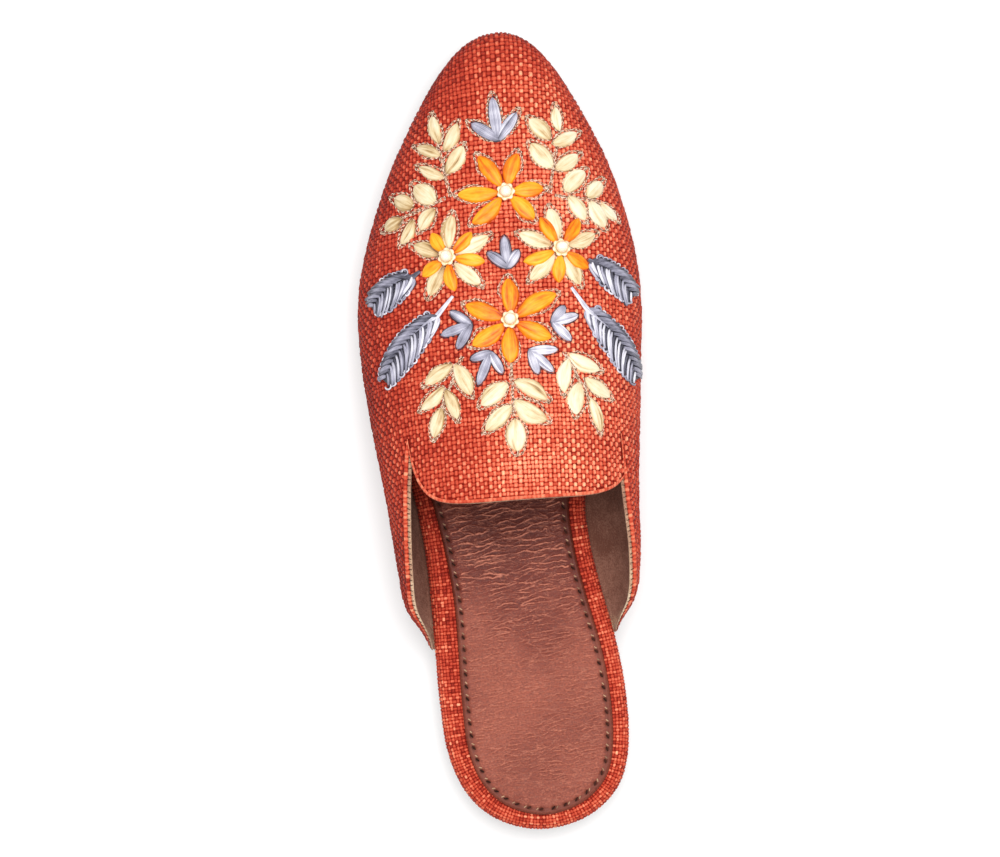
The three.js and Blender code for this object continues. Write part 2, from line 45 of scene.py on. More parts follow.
LENGTH = 265.0
GAP = 0.3
FOREFOOT_THICK, HEEL_SEAT, SEAT_START, SEAT_RAMP = 4.5, 12.0, 205.0, 85.0
TOE_SPRING, SPRING_START = 9.0, 75.0
WAIST_RISE, WAIST_START, BREAST, BREAST_RUN = 5.0, 142.0, 203.0, 2.5
SOLE_BEVEL, SOLE_UNDER_UPPER, SOLE_UNDER_FOOTBED = 1.4, 1.7, -1.0
FOOTBED_THICK, FOOTBED_ROUND = 6.0, 3.0
SOCK_THICK, SOCK_RIM, SOCK_RIM_OUTER, SOCK_RIM_INNER = 1.4, 4.6, 3.6, 0.8
SOCK_RIM_WIDENS = (150.0, 200.0)
WALL = 2.2
LOW = 4 / 14
ARCH_POWER = 2.2
FOOT_SETBACK, CROWN_SETBACK, SETBACK_FADE = 6.0, 9.0, 13.0
# Collar in side view, (from toe, height): a slit on each side, the wing's top line back from it, the throat's
# edge out to the tongue's corner, and the tongue's side from there back to the slit.
THROAT, COLLAR_SKEW, CROWN_SPLIT = (154.5, 64.0), 0.028, 134.0
COLLARS = {
    -1.0: {"slit": (132.3, 49.8), "wing": ((160.0, 49.5), (200.0, 43.0), (203.0, 12.4)),
           "throat": ((154.6, 59.8), (153.8, 56.2), (146.2, 53.2)), "flap": ((143.0, 52.0), (138.5, 50.8))},
    1.0: {"slit": (136.0, 46.5), "wing": ((165.0, 46.5), (198.0, 40.0), (202.0, 12.4)),
          "throat": ((155.3, 59.0), (155.0, 53.0), (149.9, 47.0)), "flap": ((145.3, 46.9), (140.6, 46.7))},
}


# ---------------------------------------------------------------- the last

def turn_at(tab, from_toe):
    """Angle round the outline of a table, 0 at its front end and pi at its rear end."""
    return np.arccos(np.clip(1 - 2 * (from_toe - tab["start"]) / (tab["end"] - tab["start"]), -1, 1))


def table(start, end, names, rows):
    """Columns of the last by name; the first number of each row is the distance from the toe."""
    data = np.array(rows, float)
    out = {"start": start, "end": end, **dict(zip(names, data[:, 1:].T))}
    out["turn"] = turn_at(out, data[:, 0])
    return out


FOOTBED = table(6, 265, ("middle", "half"), [
    (6, 4.2, 0), (14, 3.2, 13.2), (25, 2.8, 21), (45, 2.3, 30.4), (70, 1.4, 37.6), (95, 0, 40),
    (120, -1.4, 36.6), (140, -2.7, 31.5), (157, -2.8, 27.9), (172, -1.3, 27.4), (187, 0.7, 28.4),
    (203, 2.8, 30), (220, 4.3, 30.9), (238, 5.3, 30), (250, 6, 26.3), (259, 6, 18.6), (265, 6, 0),
])
UPPER = table(0, 265, ("middle", "half", "belly", "crown", "lean"), [
    (0, 4.1, 0, 20.5, 24, 0), (5, 3.6, 12.1, 20, 28, 0), (12, 3.2, 18.4, 19, 31.5, 0.2),
    (25, 2.8, 26.4, 18.2, 35.5, 0.5), (50, 2, 38, 17.8, 41.5, 1), (80, 0.5, 46, 18.5, 48, 1.8),
    (95, 0, 46.9, 20, 51.5, 2.2), (110, -0.2, 46.1, 22, 55, 2.6), (125, 0.1, 44.8, 25, 58.5, 3),
    (140, 0.6, 43.2, 28, 61.5, 3), (155, 1.2, 41.6, 30, 64, 3), (175, 2.1, 40.2, 28.5, 66, 3),
    (190, 2.1, 38, 23.5, 67, 3), (200, 2.1, 33.3, 18.5, 67, 3), (208, 3, 32.5, 16.5, 67, 2),
])


def y_at(from_toe):
    return LENGTH / 2 - from_toe


def toe_of(points):
    """Distance from the toe, the reverse of y_at."""
    return LENGTH / 2 - points[..., 1]


def toe_of_turn(tab, turn):
    return tab["start"] + (tab["end"] - tab["start"]) * (1 - np.cos(turn)) / 2


def column(tab, name, turn):
    """A column of a table at any angle, smooth through the rows."""
    keys, values = tab["turn"], tab[name]
    slopes = np.diff(values) / np.diff(keys)
    ends = np.concatenate([slopes[:1], (slopes[:-1] + slopes[1:]) / 2, slopes[-1:]])
    i = np.clip(np.searchsorted(keys, turn) - 1, 0, len(keys) - 2)
    span = keys[i + 1] - keys[i]
    t = (turn - keys[i]) / span
    s = 1 - t
    flat = values[i] * s * s * (1 + 2 * t) + values[i + 1] * t * t * (1 + 2 * s)
    return flat + span * (ends[i] * t * s * s - ends[i + 1] * t * t * s)


def step(x, low, high):
    t = np.clip((x - low) / (high - low), 0, 1)
    return t * t * (3 - 2 * t)


def lerp(a, b, t):
    return a + (b - a) * t


def toe_lift(d):
    return TOE_SPRING * np.maximum(0, 1 - d / SPRING_START) ** 2


def sole_top(d):
    seat = step(d, SEAT_START - SEAT_RAMP, SEAT_START)
    return FOREFOOT_THICK + (HEEL_SEAT - FOREFOOT_THICK) * seat + toe_lift(d)


def sole_under(d):
    waist = step(d, WAIST_START, BREAST) * (1 - step(d, BREAST, BREAST + BREAST_RUN))
    return toe_lift(d) + WAIST_RISE * waist


def sock_under(d):
    return sole_top(d) + FOOTBED_THICK + 2 * GAP


def footbed_edge(side, turn):
    flip = (turn < 0) | (turn > math.pi)
    t = np.where(turn < 0, -turn, np.where(turn > math.pi, 2 * math.pi - turn, turn))
    s = np.where(flip, -side, side)
    x = column(FOOTBED, "middle", t) + s * column(FOOTBED, "half", t)
    return np.stack([x, y_at(toe_of_turn(FOOTBED, t))], -1)


def sole_edge(side, turn, out):
    along = footbed_edge(side, turn + 0.01) - footbed_edge(side, turn - 0.01)
    along = along / np.linalg.norm(along, axis=-1, keepdims=True)
    edge = footbed_edge(side, turn)
    return np.stack([edge[..., 0] - side * along[..., 1] * out,
                     edge[..., 1] + side * along[..., 0] * out], -1)


def upper_point(turn, side, rise):
    turn, side, rise = np.broadcast_arrays(np.asarray(turn, float), side, np.asarray(rise, float))
    d = toe_of_turn(UPPER, turn)
    fade = np.exp(-d / SETBACK_FADE)
    foot = sole_edge(side, turn_at(FOOTBED, d + FOOT_SETBACK * fade), WALL + GAP)
    foot_z = sole_top(toe_of(foot)) + GAP
    middle = column(UPPER, "middle", turn)
    belly_x = middle + side * column(UPPER, "half", turn)
    belly = column(UPPER, "belly", turn)
    t = np.clip(rise / LOW, 0, 1)
    out = 1 - (1 - t) ** 2
    low = np.stack([lerp(foot[..., 0], belly_x, out), lerp(foot[..., 1], y_at(d), out),
                    lerp(foot_z, belly, t)], -1)
    angle = np.clip((rise - LOW) / (1 - LOW), 0, 1) * math.pi / 2
    inwards = 1 - np.maximum(0, np.cos(angle)) ** (2 / ARCH_POWER)
    upwards = np.sin(angle) ** (2 / ARCH_POWER)
    crown_d = d + CROWN_SETBACK * fade
    crown = column(UPPER, "crown", turn_at(UPPER, crown_d))
    crown_x = middle + column(UPPER, "lean", turn)
    arch = np.stack([lerp(belly_x, crown_x, inwards), lerp(y_at(d), y_at(crown_d), np.sin(angle) ** 2),
                     lerp(belly, crown, upwards)], -1)
    return np.where((rise < LOW)[..., None], low, arch)


def rise_of_height(d, z):
    turn = turn_at(UPPER, d)
    belly, crown = column(UPPER, "belly", turn), column(UPPER, "crown", turn)
    foot = sole_top(d) + GAP
    up = np.clip((z - belly) / (crown - belly), 0, 1)
    high = LOW + (1 - LOW) * np.arcsin(up ** (ARCH_POWER / 2)) / (math.pi / 2)
    return np.where(z < belly, LOW * np.clip((z - foot) / (belly - foot), 0, 1), high)


def bezier(points, t):
    p = [np.array(q, float) for q in points]
    t = np.asarray(t, float)[..., None]
    s = 1 - t
    return p[0] * s ** 3 + 3 * p[1] * s * s * t + 3 * p[2] * s * t * t + p[3] * t ** 3


# ---------------------------------------------------------------- meshes from arrays

def quads(a, b, c, d):
    """Triangles of four-sided faces."""
    return np.concatenate([np.stack([a, b, c], 1), np.stack([a, c, d], 1)])


def grid_tris(rows, cols, base=0):
    i, j = np.meshgrid(np.arange(rows - 1), np.arange(cols - 1), indexing="ij")
    a = (base + i * cols + j).ravel()
    return quads(a, a + 1, a + cols + 1, a + cols)


def weld(points, tris, close=1e-3):
    key = np.round(points / close).astype(np.int64)
    _, first, place = np.unique(key, axis=0, return_index=True, return_inverse=True)
    place = place.ravel()
    tris = place[tris]
    good = (tris[:, 0] != tris[:, 1]) & (tris[:, 1] != tris[:, 2]) & (tris[:, 2] != tris[:, 0])
    return points[first], tris[good], place


def normals_of(points, tris):
    a, b, c = points[tris[:, 0]], points[tris[:, 1]], points[tris[:, 2]]
    face = np.cross(b - a, c - a)
    out = np.zeros_like(points)
    for k in range(3):
        np.add.at(out, tris[:, k], face)
    return unit(out)


def piece(name, points, faces, material, replaces=(), uv=None, values=None):
    """A mesh object from arrays, riding on the shoe."""
    faces = np.asarray(faces)
    mesh = bpy.data.meshes.new(name)
    mesh.vertices.add(len(points))
    mesh.vertices.foreach_set("co", (np.asarray(points, float) * MM).ravel())
    mesh.loops.add(faces.size)
    mesh.loops.foreach_set("vertex_index", faces.ravel().astype(np.int32))
    mesh.polygons.add(len(faces))
    mesh.polygons.foreach_set("loop_start", np.arange(0, faces.size, faces.shape[1], dtype=np.int32))
    mesh.update(calc_edges=True)
    mesh.validate()
    if uv is not None:
        layer = mesh.uv_layers.new(name="thread")
        layer.data.foreach_set("uv", np.asarray(uv, float)[faces.ravel()].ravel())
    for key, data in (values or {}).items():
        attribute = mesh.attributes.new(key, "FLOAT", "POINT")
        attribute.data.foreach_set("value", np.asarray(data, float))
    mesh.polygons.foreach_set("use_smooth", np.full(len(faces), True))
    mesh.materials.append(material)
    obj = bpy.data.objects.new(name, mesh)
    bpy.context.scene.collection.objects.link(obj)
    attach(obj, "root")
    if replaces:
        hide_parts(*replaces)
    return obj


class Pile:
    """Many small meshes gathered into one."""

    def __init__(self):
        self.points, self.tris, self.uv, self.values, self.count = [], [], [], [], 0

    def add(self, points, tris, uv=None, value=0.5):
        points = np.asarray(points, float).reshape(-1, 3)
        self.tris.append(np.asarray(tris) + self.count)
        self.points.append(points)
        self.uv.append(np.zeros((len(points), 2)) if uv is None else np.asarray(uv, float).reshape(-1, 2))
        self.values.append(np.broadcast_to(np.asarray(value, float), (len(points),)))
        self.count += len(points)

    def done(self, name, material, slot, replaces=()):
        return piece(name, np.concatenate(self.points), np.concatenate(self.tris), material, replaces,
                     np.concatenate(self.uv), {"tone": np.concatenate(self.values)})


def unit(v):
    return v / np.maximum(np.linalg.norm(v, axis=-1, keepdims=True), 1e-12)


def dots(a, b):
    return np.einsum("ij,ij->i", a, b)


def cross2(u, v):
    return u[..., 0] * v[..., 1] - v[..., 0] * u[..., 1]


def left_of(way):
    return np.array([-way[1], way[0]])


def run_along(path):
    """Length along a path at each of its points."""
    return np.concatenate([[0], np.cumsum(np.linalg.norm(np.diff(path, axis=0), axis=1))])


def at_run(s, run, values):
    """Rows of values that go with a run, read at other lengths along it."""
    return np.stack([np.interp(s, run, values[:, k]) for k in range(values.shape[1])], -1)


def nearest(points, others):
    """Distance from each point to the nearest of the others."""
    return np.array([np.linalg.norm(others - p, axis=1).min() for p in points])


def facing_up(points, tris, up=(0.0, 0.0, 1.0)):
    """The triangles, turned over if the topmost point faces down."""
    up = np.array(up)
    top = normals_of(points, tris)[np.argmax(points @ up)]
    return tris if top @ up > 0 else tris[:, ::-1]


def facing_out(points, tris, towards):
    """The triangles, turned over if they face away from a direction given at every point."""
    a, b, c = (points[tris[:, k]] for k in range(3))
    side = dots(np.cross(b - a, c - a), towards[tris[:, 0]]).sum()
    return tris if side > 0 else tris[:, ::-1]


def tube(path, normal, half_width, half_height, sides=6):
    """Closed-ended strand along a path, flat or round, with its normal up. Returns points, triangles, uv."""
    path = np.asarray(path, float)
    n = len(path)
    along = unit(np.gradient(path, axis=0))
    across = unit(np.cross(normal, along))
    up = unit(np.cross(along, across))
    angle = 2 * math.pi * np.arange(sides) / sides
    wide = np.broadcast_to(half_width, (n,))[:, None, None] * np.cos(angle)[:, None] * across[:, None]
    high = np.broadcast_to(half_height, (n,))[:, None, None] * np.sin(angle)[:, None] * up[:, None]
    points = (path[:, None] + wide + high).reshape(-1, 3)
    i, j = np.meshgrid(np.arange(n - 1), np.arange(sides), indexing="ij")
    a, b = (i * sides + j).ravel(), (i * sides + (j + 1) % sides).ravel()
    last = (n - 1) * sides
    caps = [[0, k + 1, k] for k in range(1, sides - 1)]
    caps += [[last, last + k, last + k + 1] for k in range(1, sides - 1)]
    uv = np.stack(np.broadcast_arrays(run_along(path)[:, None], np.arange(sides) / sides), -1).reshape(-1, 2)
    return points, np.concatenate([quads(a, b, b + sides, a + sides), np.array(caps)]), uv


RIPPLE_WAVES = 24


def ripple(points, size, seed):
    """Smooth random field of about unit strength whose features are about one size across."""
    rng = np.random.default_rng(seed)
    turn = rng.normal(size=(RIPPLE_WAVES, points.shape[-1]))
    length = np.linalg.norm(turn, axis=1, keepdims=True)
    turn *= (2 * math.pi / size) * rng.uniform(0.35, 1.0, (RIPPLE_WAVES, 1)) / length
    phase = rng.uniform(0, 2 * math.pi, RIPPLE_WAVES)
    return np.sin(points @ turn.T + phase).sum(-1) * math.sqrt(2 / RIPPLE_WAVES)


# ---------------------------------------------------------------- materials

def linear(red, green, blue):
    def one(c):
        c /= 255
        return c / 12.92 if c <= 0.04045 else ((c + 0.055) / 1.055) ** 2.4
    return (one(red), one(green), one(blue), 1.0)


# Sockets of a Mix node set to colours, the part of a noise's range in which most of it lies, and a fine relief.
MIX_INPUTS, MIX_RESULT = (0, 6, 7), 2
NOISE_SPAN, FINE_RELIEF = (0.3, 0.7), 0.0002


class Look:
    """A node material built up in short lines."""

    def __init__(self, name, **sockets):
        self.material = bpy.data.materials.new(name)
        self.material.use_nodes = True
        self.nodes, self.links = self.material.node_tree.nodes, self.material.node_tree.links
        self.nodes.clear()
        self.shader = self.nodes.new("ShaderNodeBsdfPrincipled")
        out = self.nodes.new("ShaderNodeOutputMaterial")
        self.links.new(self.shader.outputs[0], out.inputs[0])
        for key, value in sockets.items():
            self.shader.inputs[key.replace("_", " ")].default_value = value

    def node(self, kind, settings=None, **inputs):
        node = self.nodes.new("ShaderNode" + kind)
        for key, value in (settings or {}).items():
            setattr(node, key, value)
        for key, value in inputs.items():
            self.feed(node.inputs[key.replace("_", " ")], value)
        return node

    def feed(self, socket, value):
        if isinstance(value, bpy.types.NodeSocket):
            self.links.new(value, socket)
        elif isinstance(value, bpy.types.Node):
            self.links.new(value.outputs[0], socket)
        else:
            socket.default_value = value

    def math(self, operation, a, b=0.0):
        node = self.node("Math", {"operation": operation})
        self.feed(node.inputs[0], a)
        self.feed(node.inputs[1], b)
        return node.outputs[0]

    def value(self, name):
        return self.node("Attribute", {"attribute_name": name}).outputs["Fac"]

    def uv(self):
        return self.node("UVMap", {"uv_map": "thread"}).outputs[0]

    def place(self):
        return self.node("TexCoord").outputs["Object"]

    def scaled(self, vector, scale):
        return self.node("Mapping", Vector=vector, Scale=scale).outputs[0]

    def noise(self, vector, scale, detail=3.0, rough=0.55):
        node = self.node("TexNoise", Vector=vector, Scale=scale, Detail=detail, Roughness=rough)
        return node.outputs["Fac"]

    def ramp(self, factor, stops):
        node = self.node("ValToRGB", Fac=factor)
        ramp = node.color_ramp
        while len(ramp.elements) < len(stops):
            ramp.elements.new(0.5)
        for element, (place, colour) in zip(ramp.elements, stops):
            element.position, element.color = place, colour
        return node.outputs[0]

    def mix(self, factor, a, b):
        node = self.node("Mix", {"data_type": "RGBA"})
        for socket, value in zip(MIX_INPUTS, (factor, a, b)):
            self.feed(node.inputs[socket], value)
        return node.outputs[MIX_RESULT]

    def span(self, value, low, high, to_low, to_high):
        node = self.node("MapRange", Value=value, From_Min=low, From_Max=high, To_Min=to_low, To_Max=to_high)
        return node.outputs[0]

    def vary(self, noise, low, high):
        """A noise spread over a range; most of it lies between NOISE_SPAN."""
        return self.span(noise, *NOISE_SPAN, low, high)

    def tone(self, *noises):
        """The mesh's own tone, varied by noises, each with its weight."""
        tone = self.value("tone")
        for noise, weight in noises:
            tone = self.math("ADD", tone, self.vary(noise, -weight, weight))
        return tone

    def done(self, colour, rough, relief=None, strength=0.0, depth=FINE_RELIEF):
        self.feed(self.shader.inputs["Base Color"], colour)
        self.feed(self.shader.inputs["Roughness"], rough)
        if relief is not None:
            bump = self.node("Bump", Height=relief, Strength=strength, Distance=depth)
            self.feed(self.shader.inputs["Normal"], bump)
        return self.material


def grey(v):
    return (v, v, v, 1.0)


def stops(*rows):
    """Stops of a colour ramp from rows of place, red, green and blue."""
    return [(place, linear(*colour)) for place, *colour in rows]


def thread_look():
    look = Look("woven_thread", Sheen_Weight=0.04, Sheen_Roughness=0.45, Specular_IOR_Level=0.12)
    fibre = look.noise(look.scaled(look.uv(), (1.3, 9.0, 1.0)), 1.0, 4.0, 0.65)
    blot = look.noise(look.place(), 900.0, 2.0)
    # The pale pink top of the ramp mostly carries the knobs' painted highlights.
    colour = look.ramp(look.tone((fibre, 0.12), (blot, 0.08)), stops(
        (0.0, 106, 24, 16), (0.3, 166, 48, 32), (0.56, 206, 82, 56), (0.8, 236, 140, 106),
        (1.0, 250, 190, 146)))
    return look.done(colour, look.vary(fibre, 0.5, 0.8), fibre, 0.35)


def ground_look():
    """Cloth in the shade between the threads."""
    look = Look("cloth_ground", Specular_IOR_Level=0.06)
    fine = look.noise(look.place(), 1400.0, 3.0)
    colour = look.ramp(fine, stops((0.3, 92, 16, 10), (0.7, 140, 32, 20)))
    return look.done(colour, look.vary(fine, 0.85, 1.0), fine, 0.4)


def lining_look():
    look = Look("lining_suede", Sheen_Weight=0.1, Sheen_Roughness=0.4, Specular_IOR_Level=0.12)
    place = look.place()
    nap = look.noise(place, 1900.0, 4.0, 0.7)
    blotch = look.noise(look.scaled(place, (1.0, 0.6, 1.0)), 260.0, 3.0, 0.6)
    colour = look.ramp(look.tone((blotch, 0.12), (nap, 0.22)), stops(
        (0.0, 100, 62, 50), (0.45, 146, 104, 88), (0.75, 196, 160, 130), (1.0, 232, 208, 178)))
    return look.done(colour, look.vary(nap, 0.8, 1.0), nap, 0.5)


def sock_look():
    """Creased leather, darker at the front and along the border, with painted shadow beside the creases, painted
    shade in the stitch holes and a painted highlight along the crease ridges.
    """
    look = Look("sock_leather", Specular_IOR_Level=0.14)
    place, fade, edge = look.place(), look.value("fade"), look.value("edge")
    pore = look.noise(place, 1500.0, 3.0, 0.6)
    cloud = look.noise(place, 60.0, 3.0)
    grain = look.noise(place, 2300.0, 2.0, 0.6)
    inside = look.span(edge, 0.0, 0.2, 1.0, 0.0)
    base = look.ramp(fade, stops((0.0, 76, 27, 20), (0.5, 110, 45, 33), (1.0, 160, 86, 68)))
    base = look.mix(look.vary(cloud, 0.0, 0.35), base, linear(106, 42, 30))
    base = look.mix(look.span(grain, 0.55, 0.72, 0.0, 0.4), base, linear(176, 104, 84))
    for across, size in ((0.2, 420.0), (0.28, 640.0)):
        wave = look.noise(look.scaled(place, (across, 1.0, 1.0)), size, 2.0, 0.55)
        ridge = look.span(look.math("ABSOLUTE", look.math("SUBTRACT", wave, 0.5)), 0.0, 0.016, 0.5, 0.0)
        base = look.mix(look.math("MULTIPLY", ridge, inside), base, linear(196, 122, 98))
    # Painted highlight along the crease ridges, fainter towards the back.
    line = look.span(look.value("tone"), 0.66, 0.84, 0.0, 0.95)
    line = look.math("MULTIPLY", line, look.span(fade, 0.2, 1.0, 1.0, 0.6))
    base = look.mix(line, base, linear(204, 126, 102))
    # Darker along the border, and in the stitch holes as painted shade.
    base = look.mix(edge, base, linear(78, 38, 26))
    base = look.mix(look.span(pore, 0.35, 0.65, 0.5, 0.0), base, linear(84, 36, 30))
    return look.done(base, look.vary(pore, 0.38, 0.6), pore, 0.3)


def rubber_look():
    look = Look("sole_rubber", Specular_IOR_Level=0.35)
    place = look.place()
    fine = look.noise(place, 700.0, 4.0, 0.6)
    cloud = look.noise(place, 40.0, 3.0)
    both = look.math("ADD", look.vary(fine, 0.0, 0.4), look.vary(cloud, 0.0, 0.6))
    colour = look.ramp(both, stops((0.0, 58, 42, 34), (1.0, 92, 70, 56)))
    return look.done(colour, look.vary(fine, 0.55, 0.8), fine, 0.25, 0.0003)


def ribbon_look(name, shine, *colours):
    """Satin ribbon: streaks along its length and soft clouds over the tone of each petal."""
    look = Look(name, Sheen_Weight=0.1, Sheen_Roughness=0.4, Specular_IOR_Level=shine)
    uv = look.uv()
    streak = look.noise(look.scaled(uv, (0.5, 5.0, 1.0)), 1.0, 4.0, 0.6)
    cloud = look.noise(look.scaled(uv, (1.1, 1.3, 1.0)), 1.0, 2.0)
    colour = look.ramp(look.tone((streak, 0.16), (cloud, 0.16)), stops(*colours))
    return look.done(colour, look.vary(streak, 0.32, 0.55), streak, 0.3, 0.00025)


def strand_look(name, rough, shine, *colours):
    """Loose thread: fibres along its length."""
    look = Look(name, Specular_IOR_Level=shine)
    fibre = look.noise(look.scaled(look.uv(), (0.35, 14.0, 1.0)), 1.0, 3.0, 0.6)
    colour = look.ramp(look.tone((fibre, 0.2)), stops(*colours))
    return look.done(colour, look.vary(fibre, rough - 0.1, rough + 0.15), fibre, 0.4)


def pearl_look():
    look = Look("pearl_bead", Coat_Weight=0.6, Coat_Roughness=0.08, Specular_IOR_Level=0.5,
                Subsurface_Weight=0.15, Subsurface_Scale=0.001)
    cloud = look.noise(look.place(), 500.0, 3.0)
    colour = look.ramp(look.tone((cloud, 0.15)), stops(
        (0.0, 196, 150, 92), (0.4, 236, 206, 156), (1.0, 255, 246, 228)))
    return look.done(colour, look.vary(cloud, 0.18, 0.34))


def floor_look():
    look = Look("pale_floor", Specular_IOR_Level=0.1, Emission_Color=grey(1.0), Emission_Strength=0.4)
    cloud = look.noise(look.place(), 3.0, 2.0)
    colour = look.ramp(cloud, [(0.3, grey(0.6)), (0.7, grey(0.62))])
    return look.done(colour, look.vary(cloud, 0.8, 0.9))


THREAD = thread_look()
GROUND = ground_look()
LINING = lining_look()
LEATHER = sock_look()
RUBBER = rubber_look()
ORANGE = ribbon_look("orange_ribbon", 0.28, (0.0, 180, 62, 4), (0.3, 230, 116, 10), (0.6, 246, 158, 24),
                     (1.0, 252, 194, 60))
CREAM = ribbon_look("cream_ribbon", 0.3, (0.0, 112, 80, 48), (0.3, 184, 150, 102), (0.6, 222, 200, 158),
                    (1.0, 240, 228, 200))
GREY = strand_look("grey_thread", 0.42, 0.3, (0.0, 34, 31, 38), (0.3, 90, 89, 103), (0.65, 164, 162, 180),
                   (1.0, 232, 230, 238))
ZARI = strand_look("outline_thread", 0.4, 0.4, (0.0, 48, 26, 16), (0.35, 150, 108, 82), (0.7, 226, 194, 166),
                   (1.0, 250, 234, 214))
# Dark thread; the pale top of its ramp is a painted glint on the sock's stitches.
DARK = strand_look("dark_thread", 0.6, 0.12, (0.0, 34, 16, 12), (0.6, 82, 44, 34), (1.0, 196, 156, 124))
PEARL = pearl_look()


# ---------------------------------------------------------------- woven cloth

def lattice(points, tris, uv, normals):
    """Every half-whole place of the thread grid on a surface, with the two thread directions there."""
    a, b, c = (uv[tris[:, k]] for k in range(3))
    low, high = np.minimum(np.minimum(a, b), c), np.maximum(np.maximum(a, b), c)
    reach = int(np.ceil((high - low).max())) + 1
    b, c = b - a, c - a
    det = cross2(b, c)
    det = np.where(np.abs(det) < 1e-9, 1e-9, det)
    p0, p1, p2 = (points[tris[:, k]] for k in range(3))
    e1, e2 = p1 - p0, p2 - p0
    du = (e1 * c[:, 1:] - e2 * b[:, 1:]) / det[:, None]
    dv = (e2 * b[:, :1] - e1 * c[:, :1]) / det[:, None]
    n0, n1, n2 = (normals[tris[:, k]] for k in range(3))
    found = []
    for i, j in np.ndindex(reach, reach):
        spot = np.floor(low) + 0.5 + np.array([i, j])
        w1, w2 = cross2(spot - a, c) / det, cross2(b, spot - a) / det
        k = np.nonzero((w1 >= 0) & (w2 >= 0) & (w1 + w2 <= 1))[0]
        w0, w1, w2 = (w[k, None] for w in (1 - w1 - w2, w1, w2))
        at = p0[k] + e1[k] * w1 + e2[k] * w2
        n = unit(n0[k] * w0 + n1[k] * w1 + n2[k] * w2)
        found.append((np.floor(spot[k]).astype(int), at, du[k], dv[k], n))
    cell, at, du, dv, n = (np.concatenate(parts) for parts in zip(*found))
    _, first = np.unique(cell, axis=0, return_index=True)
    return cell[first], at[first], du[first], dv[first], n[first]


# A raised crossing: its grid, half length and half width in thread pitches, its random shift and the painted
# highlight on its top.
# Threads of each way are numbered round and round for their tones.
KNOB_GRID = np.array([-1.0, -0.45, 0.45, 1.0])
KNOB_LONG, KNOB_WIDE, KNOB_JITTER, KNOB_PAINTED_LIGHT = 0.7, 0.53, 0.045, 0.6
THREAD_COUNT, THREAD_WRAP = 1000, 997


def knobs(pile, cell, at, du, dv, n, pitch, height, tone, seed, size=1.0, proud=1.0):
    """Raised parts of a plain weave: at each crossing the upper thread's arch between its neighbours."""
    rng = np.random.default_rng(seed)
    count = len(cell)
    warp = (cell.sum(1) % 2 == 0)[:, None]
    long_way, wide_way = (
        unit(v) * np.clip(np.linalg.norm(v, axis=1, keepdims=True), 0.6 * pitch, 1.35 * pitch)
        for v in (np.where(warp, dv, du), np.where(warp, du, dv)))
    at = at + (rng.normal(0, KNOB_JITTER, (count, 1)) * du + rng.normal(0, KNOB_JITTER, (count, 1)) * dv)
    size = np.broadcast_to(size, (count,))[:, None]
    long_half = KNOB_LONG * rng.uniform(0.93, 1.06, (count, 1)) * size
    wide_half = KNOB_WIDE * rng.uniform(0.86, 1.08, (count, 1)) * size
    tall = height * np.broadcast_to(proud, (count,)) * rng.uniform(0.78, 1.22, count)
    t, c = (m.ravel() for m in np.meshgrid(KNOB_GRID, KNOB_GRID, indexing="ij"))
    arch = (1 - 1.05 * t * t) * (1 - 0.95 * c * c)
    points = at[:, None] + (long_half * long_way)[:, None] * (t * (1 - 0.12 * c * c))[None, :, None]
    points = points + (wide_half * wide_way)[:, None] * (c * (1 - 0.38 * t * t))[None, :, None]
    points = points + n[:, None] * (1.3 * tall[:, None] * arch[None] - 0.42 * height)[..., None]
    tris = grid_tris(len(KNOB_GRID), len(KNOB_GRID))
    turn = dots(np.cross(long_way, wide_way), n) < 0
    tris = np.where(turn[:, None, None], tris[:, ::-1][None], tris[None])
    tris = (tris + len(t) * np.arange(count)[:, None, None]).reshape(-1, 3)
    uv = np.stack(np.broadcast_arrays(t[None] + rng.uniform(0, 90, (count, 1)), c[None]), -1)
    # Tone: the thread's own, with a painted highlight on the knob's top and painted shade round its foot.
    pile.add(points, tris, uv, (tone[:, None] + KNOB_PAINTED_LIGHT * (np.maximum(arch, 0) - 0.3)[None]).ravel())


def thread_tone(cell, seed, spread):
    """Tone from thread to thread, drifting along each one and a little different at every crossing."""
    rng = np.random.default_rng(seed)
    warp = cell.sum(1) % 2 == 0
    own, run = np.where(warp, cell[:, 0], cell[:, 1]), np.where(warp, cell[:, 1], cell[:, 0])
    key = own % THREAD_WRAP + np.where(warp, 0, THREAD_COUNT)
    level = rng.normal(0, 1, 2 * THREAD_COUNT)[key]
    phase, pace = rng.uniform(0, 6.28, 2 * THREAD_COUNT)[key], rng.uniform(0.15, 0.5, 2 * THREAD_COUNT)[key]
    return spread * (0.65 * level + 0.45 * np.sin(run * pace + phase) + 0.4 * rng.normal(0, 1, len(cell)))


# ---------------------------------------------------------------- upper

# Grids of the cloth's patches in the coarse pattern, how much finer the cloth itself is, and the rise at the toe
# that parts low from high patches.
ROWS, LOW_COLS, HIGH_COLS, TONGUE_ROWS, WING_ROWS = 40, 9, 10, 6, 16
FINER, FRONT_RISE = 3, 0.55
# The flat pattern: limits of an edge's weight, height from which the first guess is spread, and rounds.
WEIGHT_SPAN, SPREAD, FLAT_ROUNDS = (0.05, 20.0), 70.0, 80
# Samples and rounds for a collar line, and two places on the crown between which the warp runs straight.
LINE_SAMPLES, SKEW_ROUNDS, CROWN_LINE = 600, 5, (128.0, 45.0)
PITCH, KNOB, REAR_FROM = 1.45, 0.6, 92.0
# Cloth lies so far under the threads' middle; threads keep clear of the edge and are smaller near it.
GROUND_INSET, EDGE_CLEAR, EDGE_SHRINK, SMALLEST = 0.16, 0.55, 1.1, 0.55
